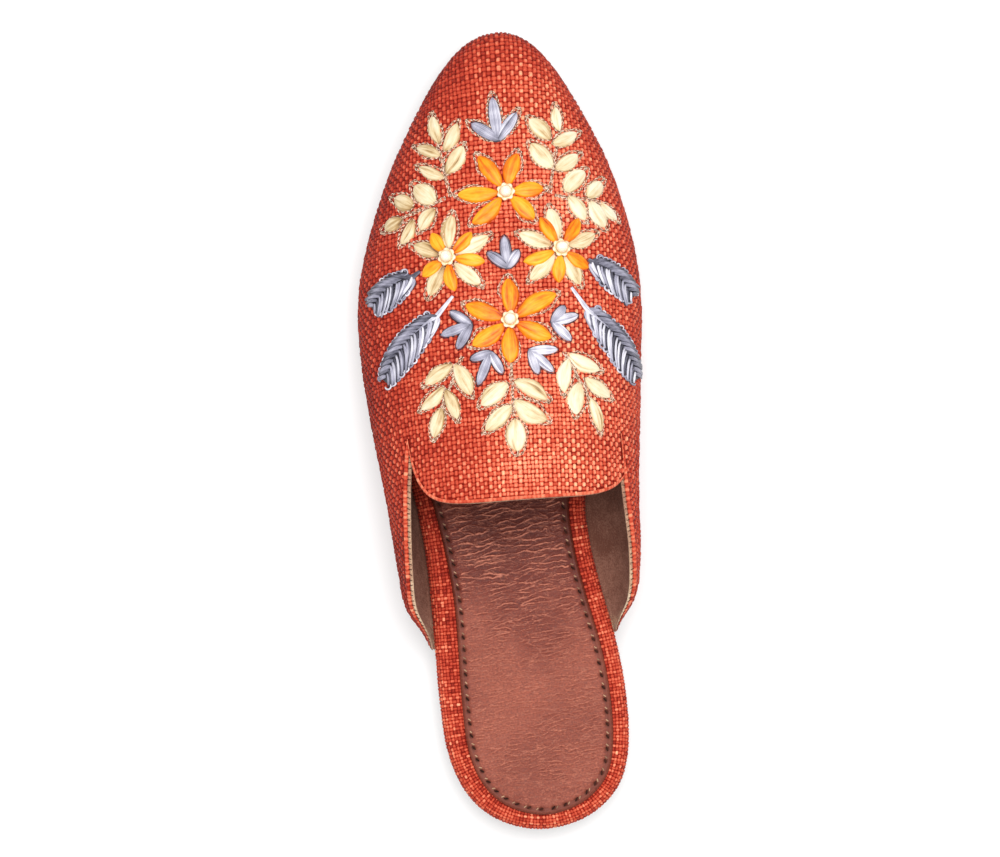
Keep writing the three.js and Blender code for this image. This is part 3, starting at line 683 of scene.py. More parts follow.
# The plainer middle of the vamp, where its cloth is lighter towards the throat, and how much warp and weft
# differ in tone and height where the cloth is beady.
PLAIN_AT, PLAIN_HALF, THROAT_LIGHT = 4.0, 17.0, (95, 142)
BEADY_TONE, BEADY_PROUD = (0.13, -0.22), (0.22, -0.3)
# Mean tone of the cloth, painted shade on its steep sides, and a painted shade across it that darkens the outer
# side.
CLOTH_TONE, STEEP_PAINTED_SHADE, PAINTED_SHADE_ACROSS = 0.47, 0.42, 0.0022


def collar_line(points, side):
    """A line of the side view carried onto the upper: distances from the toe and rises, evenly along it."""
    flat = bezier(points, np.linspace(0, 1, LINE_SAMPLES))
    d = flat[:, 0].copy()
    for _ in range(SKEW_ROUNDS):
        rise = rise_of_height(d, flat[:, 1])
        d = flat[:, 0] - COLLAR_SKEW * upper_point(turn_at(UPPER, d), side, rise)[:, 0]
    rise = rise_of_height(d, flat[:, 1])
    run = np.concatenate([[0], np.cumsum(np.hypot(np.diff(d), np.diff(flat[:, 1])))])
    s = np.linspace(0, run[-1], LINE_SAMPLES)
    return np.interp(s, run, d), np.interp(s, run, rise)


def cloth_patches(finer):
    """Vamp, tongue and the two wings as grids that share their edges: (kind, side, points)."""
    low_share = np.linspace(0, 1, LOW_COLS * finer + 1)[None]
    high_share = np.linspace(0, 1, HIGH_COLS * finer + 1)[None]
    rows = np.linspace(0, 1, ROWS * finer + 1)[:, None]
    t = np.linspace(0, 1, TONGUE_ROWS * finer + 1)[:, None]
    out = []

    def along(line, share):
        return np.interp(share * (len(line) - 1), np.arange(len(line)), line)

    for side, collar in COLLARS.items():
        wing_d, wing_rise = collar_line((collar["slit"], *collar["wing"]), side)
        edge_d, edge_rise = collar_line((THROAT, *collar["throat"]), side)
        flap_d, flap_rise = collar_line((collar["slit"], *collar["flap"][::-1], collar["throat"][-1]), side)
        slit_d, slit_rise = wing_d[0], wing_rise[0]
        middle = lerp(FRONT_RISE, slit_rise, rows)
        split = lerp(slit_d, CROWN_SPLIT, high_share)
        back_rise = lerp(edge_rise[-1], 1.0, high_share)
        back_d = np.interp(back_rise, edge_rise[::-1], edge_d[::-1])
        out.append(("low", side, upper_point(rows * turn_at(UPPER, slit_d), side, low_share * middle)))
        out.append(("high", side, upper_point(rows * turn_at(UPPER, split), side,
                                              lerp(middle, 1.0, high_share))))
        bend = (1 - high_share) ** 2
        d = lerp(split, back_d, t) + bend * (along(flap_d, t) - lerp(slit_d, flap_d[-1], t))
        rise = lerp(lerp(slit_rise, 1.0, high_share), back_rise, t)
        rise = rise + bend * (along(flap_rise, t) - lerp(slit_rise, flap_rise[-1], t))
        out.append(("tongue", side, upper_point(turn_at(UPPER, d), side, rise)))
        pick = np.linspace(0, 1, WING_ROWS * finer + 1)[:, None]
        out.append(("wing", side, upper_point(turn_at(UPPER, along(wing_d, pick)), side,
                                              along(wing_rise, pick) * low_share)))
    return out


def patch_mesh(patches):
    """One welded surface from the grids, faces outwards, and where each grid's points went."""
    points, tris, index, count = [], [], [], 0
    for _, side, grid in patches:
        rows, cols = grid.shape[:2]
        faces = grid_tris(rows, cols, count)
        points.append(grid.reshape(-1, 3))
        tris.append(faces[:, ::-1] if side > 0 else faces)
        index.append(np.arange(count, count + rows * cols).reshape(rows, cols))
        count += rows * cols
    points, tris, place = weld(np.concatenate(points), np.concatenate(tris))
    return points, facing_up(points, tris), [place[k] for k in index]


def flattened(points, tris):
    """Flat pattern of a surface, in its own lengths: each triangle only turns, as far as they all can."""
    a, b, c = (points[tris[:, k]] for k in range(3))
    right = unit(b - a)
    ahead = np.cross(unit(np.cross(b - a, c - a)), right)
    flat = np.zeros((len(tris), 3, 2))
    flat[:, 1, 0] = np.linalg.norm(b - a, axis=1)
    flat[:, 2, 0], flat[:, 2, 1] = dots(c - a, right), dots(c - a, ahead)
    corners = ((0, 1, 2), (1, 2, 0), (2, 0, 1))
    count = len(points)
    stiff = np.zeros((count, count))
    weights = []
    for i, j, k in corners:
        u, v = flat[:, i] - flat[:, k], flat[:, j] - flat[:, k]
        weight = np.clip(dots(u, v) / np.abs(cross2(u, v)), *WEIGHT_SPAN)
        weights.append(weight)
        p, q = tris[:, i], tris[:, j]
        for rows, cols, sign in ((p, p, 1), (q, q, 1), (p, q, -1), (q, p, -1)):
            np.add.at(stiff, (rows, cols), sign * weight)
    inverse = np.linalg.inv(stiff[1:, 1:])
    uv = np.column_stack([points[:, 0] * (1 + (SPREAD - points[:, 2]) / SPREAD), points[:, 1]])
    for _ in range(FLAT_ROUNDS):
        turn = np.zeros((len(tris), 2))
        for (i, j, _), weight in zip(corners, weights):
            u, v = uv[tris[:, i]] - uv[tris[:, j]], flat[:, i] - flat[:, j]
            turn[:, 0] += weight * dots(u, v)
            turn[:, 1] += weight * cross2(v, u)
        turn = unit(turn)
        pull = np.zeros((count, 2))
        for (i, j, _), weight in zip(corners, weights):
            v = flat[:, i] - flat[:, j]
            moved = np.column_stack([turn[:, 0] * v[:, 0] - turn[:, 1] * v[:, 1],
                                     turn[:, 1] * v[:, 0] + turn[:, 0] * v[:, 1]]) * weight[:, None]
            np.add.at(pull, tris[:, i], moved)
            np.add.at(pull, tris[:, j], -moved)
        uv[0] = 0
        uv[1:] = inverse @ pull[1:]
    return uv


def finer_grid(values, finer):
    """A grid of values with more points between, joined by straight lines."""
    for axis in (0, 1):
        old = np.arange(values.shape[axis])
        new = np.linspace(0, old[-1], old[-1] * finer + 1)
        low = np.minimum(new.astype(int), old[-1] - 1)
        part = (new - low).reshape((-1, 1, 1) if axis == 0 else (1, -1, 1))
        values = np.take(values, low, axis) * (1 - part) + np.take(values, low + 1, axis) * part
    return values


def pattern():
    """Fine cloth surface, its collar edges and its thread coordinates."""
    coarse, coarse_tris, coarse_index = patch_mesh(cloth_patches(1))
    uv = flattened(coarse, coarse_tris)
    ends = [int(np.argmin(np.linalg.norm(coarse - upper_point(turn_at(UPPER, d), 1.0, 1.0), axis=1)))
            for d in CROWN_LINE]
    way = unit(uv[ends[1]] - uv[ends[0]])
    uv = np.stack([uv @ np.array([way[1], -way[0]]), uv @ way], 1)
    patches = cloth_patches(FINER)
    points, tris, index = patch_mesh(patches)
    thread = np.zeros((len(points), 2))
    for rows, coarse_rows in zip(index, coarse_index):
        thread[rows.ravel()] = finer_grid(uv[coarse_rows], FINER).reshape(-1, 2)
    edges = []
    for (kind, side, _), rows in zip(patches, index):
        if kind == "tongue":
            edges.append((kind, side, np.concatenate([rows[:-1, 0], rows[-1]]),
                          np.concatenate([rows[:-1, 1], rows[-2, 1:2], rows[-2, 1:]])))
        elif kind == "wing":
            edges.append((kind, side, rows[:, -1], rows[:, -2]))
        if kind in ("low", "wing"):
            edges.append((kind + "_foot", side, rows[:, 0], rows[:, 1]))
    return points, tris, thread, edges


# Rear ends of the two wings, the length over which their wall thins, and the share that is left at the end.
WING_TIPS, WING_THINS, WING_TIP_SHARE = (203.8, 201.1), 18.0, 0.3


def wall_share(points):
    """Share of the wall's thickness: all of it, but less at the ends of the wings."""
    tip = np.where(points[:, 0] < 0, *WING_TIPS)
    return lerp(WING_TIP_SHARE, 1.0, step(tip - toe_of(points), 0, WING_THINS))


CLOTH, CLOTH_TRIS, CLOTH_UV, EDGES = pattern()
CLOTH_NORMAL = normals_of(CLOTH, CLOTH_TRIS)
CLOTH_SHARE = wall_share(CLOTH)
LINED = CLOTH - WALL * CLOTH_NORMAL
CLOTH = LINED + WALL * CLOTH_SHARE[:, None] * CLOTH_NORMAL


def tidy_edge(edge, inside):
    keep = np.concatenate([[True], np.linalg.norm(np.diff(CLOTH[edge], axis=0), axis=1) > 1e-3])
    return edge[keep], inside[keep]


def collar_edges():
    """Tongue edge from slit to slit and the wings' top lines: name, places, normals, ways out and room."""
    parts = {(kind, side): tidy_edge(a, b) for kind, side, a, b in EDGES}
    left, right = parts["tongue", -1.0], parts["tongue", 1.0]
    tongue = [np.concatenate([left[k], right[k][::-1][1:]]) for k in range(2)]
    wings = np.concatenate([parts["wing", -1.0][0], parts["wing", 1.0][0]])
    out = []
    for name, (edge, inside) in (("tongue", tongue), ("wing_outer", parts["wing", -1.0]),
                                 ("wing_inner", parts["wing", 1.0])):
        at, n = CLOTH[edge], CLOTH_NORMAL[edge]
        along = unit(np.gradient(at, axis=0))
        away = unit(np.cross(along, n))
        wrong = dots(away, at - CLOTH[inside]).sum() < 0
        away = -away if wrong else away
        gap = nearest(at, CLOTH[wings if name == "tongue" else tongue[0]])
        share = TONGUE_ROOM if name == "tongue" else 1 - TONGUE_ROOM
        room = np.clip(gap * share, LEAST_ROOM, 1.0)
        if name != "tongue":
            run = run_along(at)
            room = np.minimum(room, np.clip((run[-1] + 0.5 - run) / WING_END, WING_END_ROOM, 1.0))
        out.append((name, edge, at, n * CLOTH_SHARE[edge][:, None], away, room[:, None]))
    return out


# The tongue's share of a slit, the least room and the room that runs out at a wing's end; then three profiles
# as (outwards or inwards, up): the lining's foot, the fold and the lining's edge.
TONGUE_ROOM, LEAST_ROOM, WING_END, WING_END_ROOM = 0.3, 0.04, 6.0, 0.15
LINING_FOOT = ((0.0, 0.0), (0.6, 0.15), (1.6, 0.2), (2.4, 0.2))
FOLD = np.array([(-0.55, 0.0), (-0.15, 0.2), (0.28, 0.08), (0.54, -0.28), (0.56, -0.7), (0.3, -1.12)])
LINING_EDGE = np.array([(0.1, -1.12), (0.9, -1.15), (1.3, -1.45), (1.25, -1.9), (0.6, -2.2), (0.0, -2.2)])
COLLAR = collar_edges()


def collar_run(at, *others, spacing):
    """An edge and what goes with it, at even spacing along it."""
    run = run_along(at)
    s = np.linspace(0, run[-1], int(run[-1] / spacing) + 1)
    return s, [at_run(s, run, v) for v in (at, *others)]


def build_collar_fold():
    """Cloth turned over the collar edge, ribbed by the threads that run over it."""
    pile = Pile()
    rng = np.random.default_rng(SEED)
    for name, _, at, n, away, room in COLLAR:
        s, (at, n, away, room) = collar_run(at, n, away, room, spacing=PITCH / 5)
        away = unit(away)
        swell = np.abs(np.cos(math.pi * s / PITCH)) ** 0.7
        own = rng.normal(0, 0.13, 2 * THREAD_COUNT)[(s / PITCH + 0.5).astype(int)]
        # Tone rises with each rib's swell: a painted highlight on the ribs and painted shade between them.
        rib, tone = 0.14, 0.3 + 0.34 * swell + own
        if name == "tongue":
            rib, tone = 0.06, 0.5 + 0.16 * swell + 0.7 * own
        bulge = rib * (swell[:, None] - 0.6)
        rows = np.stack([at + away * room * (e + bulge) + n * (h + bulge) for e, h in FOLD])
        points = rows.reshape(-1, 3)
        tris = facing_out(points, grid_tris(*rows.shape[:2]), np.tile(unit(n) + away, (len(FOLD), 1)))
        uv = np.stack(np.broadcast_arrays(np.arange(len(FOLD))[:, None] * 0.5, s[None]), -1)
        pile.add(points, tris, uv, np.tile(tone, len(FOLD)))
    pile.done("collar_fold", THREAD, "woven_cloth")


def build_upper():
    """Cloth with every thread on it: beady at the sides, plainer in the middle and lighter at the throat."""
    uv = CLOTH_UV / PITCH
    uv = uv + 0.1 * np.sin(uv * 0.9 + np.array([0.3, 1.7]))
    ground = CLOTH - GROUND_INSET * CLOTH_NORMAL
    piece("upper_cloth", ground, CLOTH_TRIS, GROUND, ["upper"], uv)
    cell, at, du, dv, normal = lattice(CLOTH, CLOTH_TRIS, uv, CLOTH_NORMAL)
    rim = np.concatenate([collar_run(edge[2], spacing=0.6)[1][0] for edge in COLLAR])
    to_rim = nearest(at, rim)
    keep = to_rim > EDGE_CLEAR
    cell, at, du, dv, normal, to_rim = (v[keep] for v in (cell, at, du, dv, normal, to_rim))
    d = toe_of(at)
    warp = cell.sum(1) % 2 == 0
    middle = np.exp(-((at[:, 0] - PLAIN_AT) / PLAIN_HALF) ** 2)
    beady = np.clip(1 - 0.9 * middle + 0.25 * ripple(at, 26.0, 9), 0.05, 1.0)
    throat = middle * step(d, *THROAT_LIGHT)
    tone = CLOTH_TONE + thread_tone(cell, 5, 0.09) + 0.1 * throat
    # Painted shade: darker where the cloth slopes away from straight up, and darker towards the outer side.
    tone = tone - STEEP_PAINTED_SHADE * (1 - np.clip(normal[:, 2], 0, 1))
    tone += 0.03 * ripple(at, 30.0, 8) + beady * np.where(warp, *BEADY_TONE) + PAINTED_SHADE_ACROSS * at[:, 0]
    proud = 1 + beady * np.where(warp, *BEADY_PROUD)
    size = np.clip(to_rim / EDGE_SHRINK, SMALLEST, 1.0)
    rear = d > REAR_FROM
    for name, part in (("weave_front", ~rear), ("weave_rear", rear)):
        pile = Pile()
        knobs(pile, cell[part], at[part], du[part], dv[part], normal[part], PITCH, KNOB, tone[part], 21,
              size[part], proud[part])
        pile.done(name, THREAD, "woven_cloth")


def build_lining():
    """Inner face of the upper and its edge, which shows just past the turned cloth."""
    points, tris = [LINED], [CLOTH_TRIS[:, ::-1]]

    def add_strip(rows, towards):
        count = sum(len(part) for part in points)
        points.append(rows.reshape(-1, 3))
        tris.append(count + facing_out(points[-1], grid_tris(*rows.shape[:2]), towards))

    for name, edge, at, n, away, room in COLLAR:
        narrow = 0.5 if name == "tongue" else 1.0
        rows = np.stack([at + away * room * e * narrow + n * h for e, h in LINING_EDGE])
        rows[-1] = LINED[edge]
        add_strip(rows, np.tile(0.2 * n + away, (len(rows), 1)))
    for kind, _, edge, _ in EDGES:
        if kind.endswith("_foot"):
            inwards = unit(CLOTH_NORMAL[edge] * np.array([-1.0, -1.0, 0.0]))
            rows = np.stack([LINED[edge] + inwards * e + np.array([0, 0, h]) for e, h in LINING_FOOT])
            add_strip(rows, np.tile(np.array([0, 0, 1.0]), (rows[..., 0].size, 1)))
    points, tris, _ = weld(np.concatenate(points), np.concatenate(tris))
    tongue, *wings = (at for _, _, at, *_ in COLLAR)
    near = np.minimum(nearest(points, np.concatenate(wings)), nearest(points, tongue) + 0.4)
    # Paler along the collar edges and fading darker deeper into the shoe, a painted shade; also paler towards the
    # rear.
    pale = 0.3 * (1 - step(near, 1.2, 5.5)) + 0.26 * (1 - step(near, 2.0, 15.0))
    tone = 0.1 + pale + 0.05 * ripple(points, 14.0, 3) + 0.2 * step(toe_of(points), 165, 198)
    piece("upper_lining", points, tris, LINING, (), None, {"tone": tone})


# Way of a lining stitch over the wing's edge: outwards, downwards and its lean along the edge.
LINING_STITCH = ((0.5, 0.62, 0.0), (0.78, 0.98, 0.0), (1.08, 1.16, 0.3), (1.36, 1.5, 0.5))
LINING_STITCH_STEP, LINING_STITCH_FROM, LINING_STITCH_TO = 1.9, 6.0, 4.0


def build_lining_stitches():
    pile = Pile()
    rng = np.random.default_rng(SEED + 2)
    for _, _, at, n, away, room in COLLAR[1:]:
        run = run_along(at)
        for s in np.arange(LINING_STITCH_FROM, run[-1] - LINING_STITCH_TO, LINING_STITCH_STEP):
            s = s + rng.uniform(-0.25, 0.25)
            p, q, o = (at_run(s, run, v) for v in (at, n, away))
            lean = rng.uniform(-0.4, 0.7) * unit(at_run(s + 0.5, run, at) - p)
            o = o * at_run(s, run, room)
            path = np.array([p + o * e - q * h + lean * k for e, h, k in LINING_STITCH])
            pile.add(*tube(path, o, 0.14, 0.12, 5), rng.uniform(0.06, 0.42))
    pile.done("lining_stitches", DARK, "thread")


# ---------------------------------------------------------------- footbed, sock and outsole

# The footbed's rim: threads, reach of the wrap inwards, steps around; threads start behind the wings and above
# the sole.
RIM_PITCH, RIM_KNOB, RIM_DEPTH, RIM_STEPS = 1.15, 0.42, 13.0, 420
RIM_INSET, RIM_FROM, RIM_LOWEST = 0.12, 128.0, 0.6


def round_edge(turn, out):
    side = np.where(turn > math.pi, -1.0, 1.0)
    t = np.where(turn > math.pi, 2 * math.pi - turn, turn)
    return sole_edge(side, t, out)


def footbed_profile():
    """Outward shift and share of the thickness, from under the edge round to the top and inwards."""
    angle = np.radians(np.linspace(-90, 90, 13))
    rounded = [(FOOTBED_ROUND * (math.cos(a) - 1), (1 + math.sin(a)) / 2) for a in angle]
    flat = [(-FOOTBED_ROUND - k, 1.0) for k in np.linspace(0.8, RIM_DEPTH - FOOTBED_ROUND, 11)]
    return np.array([(-RIM_DEPTH, 0.0), (-7.0, 0.0)] + rounded + flat)


def footbed_ring(turn, profile):
    rows = []
    for out, share in profile:
        edge = round_edge(turn, out)
        rows.append(np.column_stack([edge, sole_top(toe_of(edge)) + GAP + FOOTBED_THICK * share]))
    return np.stack(rows, 1)


def build_footbed():
    """Foam board wrapped in the same cloth; the rim behind the wings carries real threads."""
    dense = np.linspace(0, 2 * math.pi, 4001)
    run = run_along(round_edge(dense, -1.0))
    along = np.linspace(0, run[-1], RIM_STEPS + 1)
    ring = footbed_ring(np.interp(along, run, dense), footbed_profile())
    rows, cols = ring.shape[:2]
    points, tris = ring.reshape(-1, 3), grid_tris(rows, cols)
    k = np.arange(RIM_STEPS // 2)
    corners = (k, k + 1, RIM_STEPS - k - 1, RIM_STEPS - k)
    under, over = (quads(*(corner * cols + end for corner in corners)) for end in (0, cols - 1))
    welded, faces, _ = weld(points, np.concatenate([tris, under, over[:, ::-1]]))
    faces = facing_up(welded, faces)
    inset = welded - RIM_INSET * normals_of(welded, faces)
    body = piece("footbed_wrap", inset, faces, GROUND, ["footbed"])
    across = np.concatenate([[0], np.cumsum(np.linalg.norm(np.diff(ring, axis=1), axis=2).mean(0))])
    uv = np.stack(np.broadcast_arrays(along[:, None], across[None]), -1).reshape(-1, 2) / RIM_PITCH
    uv = uv + 0.08 * np.sin(uv * 0.8)
    normal = normals_of(points, tris)
    if normal[(rows // 4) * cols + cols - 2][2] < 0:
        normal = -normal
    cell, at, du, dv, n = lattice(points, tris, uv, normal)
    d = toe_of(at)
    keep = (d > RIM_FROM) & (at[:, 2] > sole_top(d) + GAP + RIM_LOWEST)
    cell, at, du, dv, n, d = (v[keep] for v in (cell, at, du, dv, n, d))
    # Darker on the front of the rim, near the throat, a painted shade; paler towards the heel.
    tone = 0.24 + thread_tone(cell, 6, 0.15) + 0.1 * step(d, 150, 235) - 0.16 * (1 - step(d, 132, 165))
    tone += np.where(np.random.default_rng(4).uniform(size=len(cell)) < 0.04, 0.12, 0.0)
    pile = Pile()
    knobs(pile, cell, at, du, dv, n, RIM_PITCH, RIM_KNOB, tone, 22)
    pile.done("weave_rim", THREAD, "woven_cloth")


def sock_edge(side, turn, inset=0.0):
    wide = lerp(0.2, 1.0, step(toe_of_turn(FOOTBED, turn), *SOCK_RIM_WIDENS))
    extra = SOCK_RIM_OUTER * wide if side < 0 else SOCK_RIM_INNER
    return sole_edge(side, turn, -(SOCK_RIM + extra * np.sin(turn)) - inset)


STITCH_INSET, STITCH_STEP, STITCH_HALVES = 1.9, 4.1, (0.22, 0.2)
# The creased part of the sock, in fine rows, and its columns: insets at each edge and shares between them.
FINE_FROM, FINE_TO, FINE_STEP = 132.0, 256.0, 0.19
EDGE_COLUMNS, INNER_COLUMNS = np.array([0, 0.25, 0.6, 1.0, 1.5, 1.9, 2.3, 2.8]), np.linspace(0, 1, 101)[1:-1]
# Creases: size of the table of random places, slant across the sock, cells of the coarse and the fine ones; the
# sock's paler back; and heights of crease, groove along the seam, stitch hole and soft swelling.
CREASE_JITTER, CREASE_SLANT, COARSE_CELL, FINE_CELL, SOCK_BACK = 96, 0.17, (6.6, 1.95), (4.2, 1.4), (175, 228)
CREASE_RISE, GROOVE_DEPTH, HOLE_DEPTH, SWELLING = 0.2, 0.16, 0.3, 0.12


def stitch_places():
    """Points along the sewn border of the sock, one per stitch, with the way the seam runs."""
    turn = np.linspace(0.25, math.pi, 1500)
    left, right = (sock_edge(side, turn, STITCH_INSET) for side in (-1.0, 1.0))
    line = np.concatenate([left, right[::-1][1:]])
    run = run_along(line)
    s = np.arange(1.0, run[-1] - 1.0, STITCH_STEP)
    at = at_run(s, run, line)
    return at, unit(at_run(s + 0.5, run, line) - at)


def wrinkles(plan, cell, seed):
    """Leather creases: the thin borders between long flat cells, strongest where they run across the sock.

    Returns the ridges of the creases and the painted shadow beside them."""
    jitter = np.random.default_rng(seed).uniform(0.05, 0.95, (CREASE_JITTER, CREASE_JITTER, 2))
    x, y = plan[..., 0], plan[..., 1] - CREASE_SLANT * plan[..., 0]
    x = x + 0.4 * ripple(plan, 5.0, seed + 1) + 0.1 * ripple(plan, 1.7, seed + 2)
    y = y + 0.3 * ripple(plan, 7.0, seed + 3) + 0.08 * ripple(plan, 1.5, seed + 4)
    here = np.stack([x / cell[0], y / cell[1]], -1)
    home = np.floor(here).astype(int)
    first, second = np.full(x.shape, 9.0), np.full(x.shape, 9.0)
    first_at, second_at = np.zeros(here.shape), np.zeros(here.shape)
    for i, j in np.ndindex(5, 5):
        k = home + np.array([i - 2, j - 2])
        spot = k + jitter[k[..., 0] % CREASE_JITTER, k[..., 1] % CREASE_JITTER]
        far = np.linalg.norm(spot - here, axis=-1)
        closest, next_one = far < first, (far >= first) & (far < second)
        second = np.where(closest, first, np.where(next_one, far, second))
        second_at = np.where(closest[..., None], first_at, np.where(next_one[..., None], spot, second_at))
        first = np.where(closest, far, first)
        first_at = np.where(closest[..., None], spot, first_at)
    apart = second_at - first_at
    gap = apart * np.array(cell)
    level = np.abs(gap[..., 1]) / np.maximum(np.linalg.norm(gap, axis=-1), 1e-6)
    border = (second ** 2 - first ** 2) / 2 * cell[1] / np.maximum(np.linalg.norm(apart, axis=-1), 0.2)
    broken = np.clip(1.0 + 0.4 * ripple(plan * np.array([0.7, 1.5]), 7.0, seed + 5), 0.3, 1.3)
    strength = np.clip(step(level, 0.08, 0.5) * broken, 0, 1)
    return 1 - border / 0.8 - 0.3 * (1 - strength), np.exp(-((border - 0.5) / 0.25) ** 2) * strength


def build_sock():
    """Leather sock: a soft edge, a sewn border and creases that run across it."""
    turn = np.concatenate([np.linspace(0.0, float(turn_at(FOOTBED, FINE_FROM)), 50),
                           turn_at(FOOTBED, np.arange(FINE_FROM + 0.3, FINE_TO, FINE_STEP)),
                           np.linspace(float(turn_at(FOOTBED, FINE_TO)), math.pi, 26)[1:]])
    left, right = sock_edge(-1.0, turn), sock_edge(1.0, turn)
    width = np.maximum(np.linalg.norm(right - left, axis=1), 1e-6)[:, None]
    edge = EDGE_COLUMNS * np.minimum(1.0, width / 12.0)
    last = edge[:, -1:]
    x = np.concatenate([edge, last + (width - 2 * last) * INNER_COLUMNS, (width - edge)[:, ::-1]], 1) / width
    plan = left[:, None] + (right - left)[:, None] * x[..., None]
    d = toe_of(plan)
    base = sock_under(d)
    seam = np.concatenate([sock_edge(side, np.linspace(0, math.pi, 700)) for side in (-1.0, 1.0)])
    from_edge = nearest(plan.reshape(-1, 2), seam).reshape(d.shape)
    soft = np.sqrt(np.clip(1 - (1 - np.clip(from_edge, 0, 1)) ** 2, 0, 1))
    back = step(d, *SOCK_BACK)
    (coarse, coarse_shadow), (fine, fine_shadow) = wrinkles(plan, COARSE_CELL, 31), wrinkles(plan, FINE_CELL, 41)
    mark = np.maximum(coarse - 0.2 * back, fine - lerp(0.2, 0.08, back))
    mark = mark - 0.1 * step(d, 244, 252) - 0.6 * (1 - step(from_edge, 2.2, 3.4))
    # Painted shadow beside the creases: from the coarse ones at the front, from the fine ones at the back.
    crease_shadow = coarse_shadow * lerp(0.8, 0.1, back) + fine_shadow * lerp(0.1, 0.4, back)
    crease = step(mark, 0.45, 0.95)
    hole = np.zeros(d.shape)
    for place in stitch_places()[0]:
        near = np.abs(plan[..., 1] - place[1]) < 2.5
        hole[near] = np.maximum(hole[near], np.exp(-((plan[near] - place) ** 2).sum(-1) / 0.5))
    groove = np.exp(-((from_edge - STITCH_INSET) / 0.55) ** 2)
    bulge = SWELLING * ripple(plan, 16.0, 35) * step(from_edge, 2, 8)
    z = base + SOCK_THICK * soft + CREASE_RISE * crease - GROOVE_DEPTH * groove - HOLE_DEPTH * hole + bulge
    rows, cols = d.shape
    rim = np.concatenate([np.arange(rows) * cols, np.arange(rows)[::-1] * cols + cols - 1])
    skirt = quads(rim[:-1], rim[1:], rim[1:] + d.size, rim[:-1] + d.size)
    a = d.size + np.arange(rows - 1) * cols
    under = quads(a, a + cols - 1, a + 2 * cols - 1, a + cols)
    points = np.concatenate([np.dstack([plan, height]).reshape(-1, 3) for height in (z, base)])
    points, faces, place = weld(points, np.concatenate([grid_tris(rows, cols), skirt, under]), 2e-3)
    order = np.zeros(len(points), int)
    order[place] = np.arange(len(place))
    # Paler towards the back, and darkened near the front by the painted shadow beside the creases.
    fade = step(d, 148, 215) + 0.1 * ripple(plan, 25.0, 36) - 0.5 * crease_shadow * step(d, 140, 170)
    # Darker along the border beside the seam, and painted shade in each stitch hole.
    dark = 0.4 * (1 - step(from_edge, 1.9, 2.6)) + 0.95 * hole
    values = {key: np.concatenate([np.clip(value, 0, 1).ravel(), np.zeros(d.size)])[order]
              for key, value in (("tone", mark), ("fade", fade), ("edge", dark))}
    piece("sock_leather", points, facing_up(points, faces), LEATHER, ["sock"], None, values)


def build_sock_stitches():
    """A dark stitch in each hole and a pale tick between two holes, a painted glint on the thread."""
    pile = Pile()
    rng = np.random.default_rng(SEED + 3)
    t = np.linspace(-1, 1, 7)
    for place, way in zip(*stitch_places()):
        toewards = way * (1 if way[1] > 0 else -1)
        for shift, reach, tone in ((0.0, 0.7, rng.uniform(0.0, 0.36)), (1.3, 0.4, rng.uniform(0.75, 1.0))):
            slant = rng.uniform(0.3, 0.6)
            at = place + toewards * shift + t[:, None] * (way * reach + left_of(way) * slant)
            top = sock_under(toe_of(at)) + SOCK_THICK
            path = np.column_stack([at, top - 0.08 - 0.3 * t * t])
            pile.add(*tube(path, np.array([0, 0, 1.0]), *STITCH_HALVES), tone)
    pile.done("sock_stitches", DARK, "thread")


SOLE_ROWS, SOLE_NARROWS = (6.2, 264.8, 0.9), (194, 204)
BEVEL_STEPS, WALL_STEPS = (0.0, 0.35, 0.7, 1.0), (0.45, 0.55, 0.8, 1.0)
# Tread: its pitch and depth, the bend of its ribs, and where it starts, is full, fades and ends.
TREAD_PITCH, TREAD_DEPTH, TREAD_BEND = 3.6, 0.8, 3.6
TREAD_ZONES = ((22, 30, 118, 126), (209, 212, 255, 259))


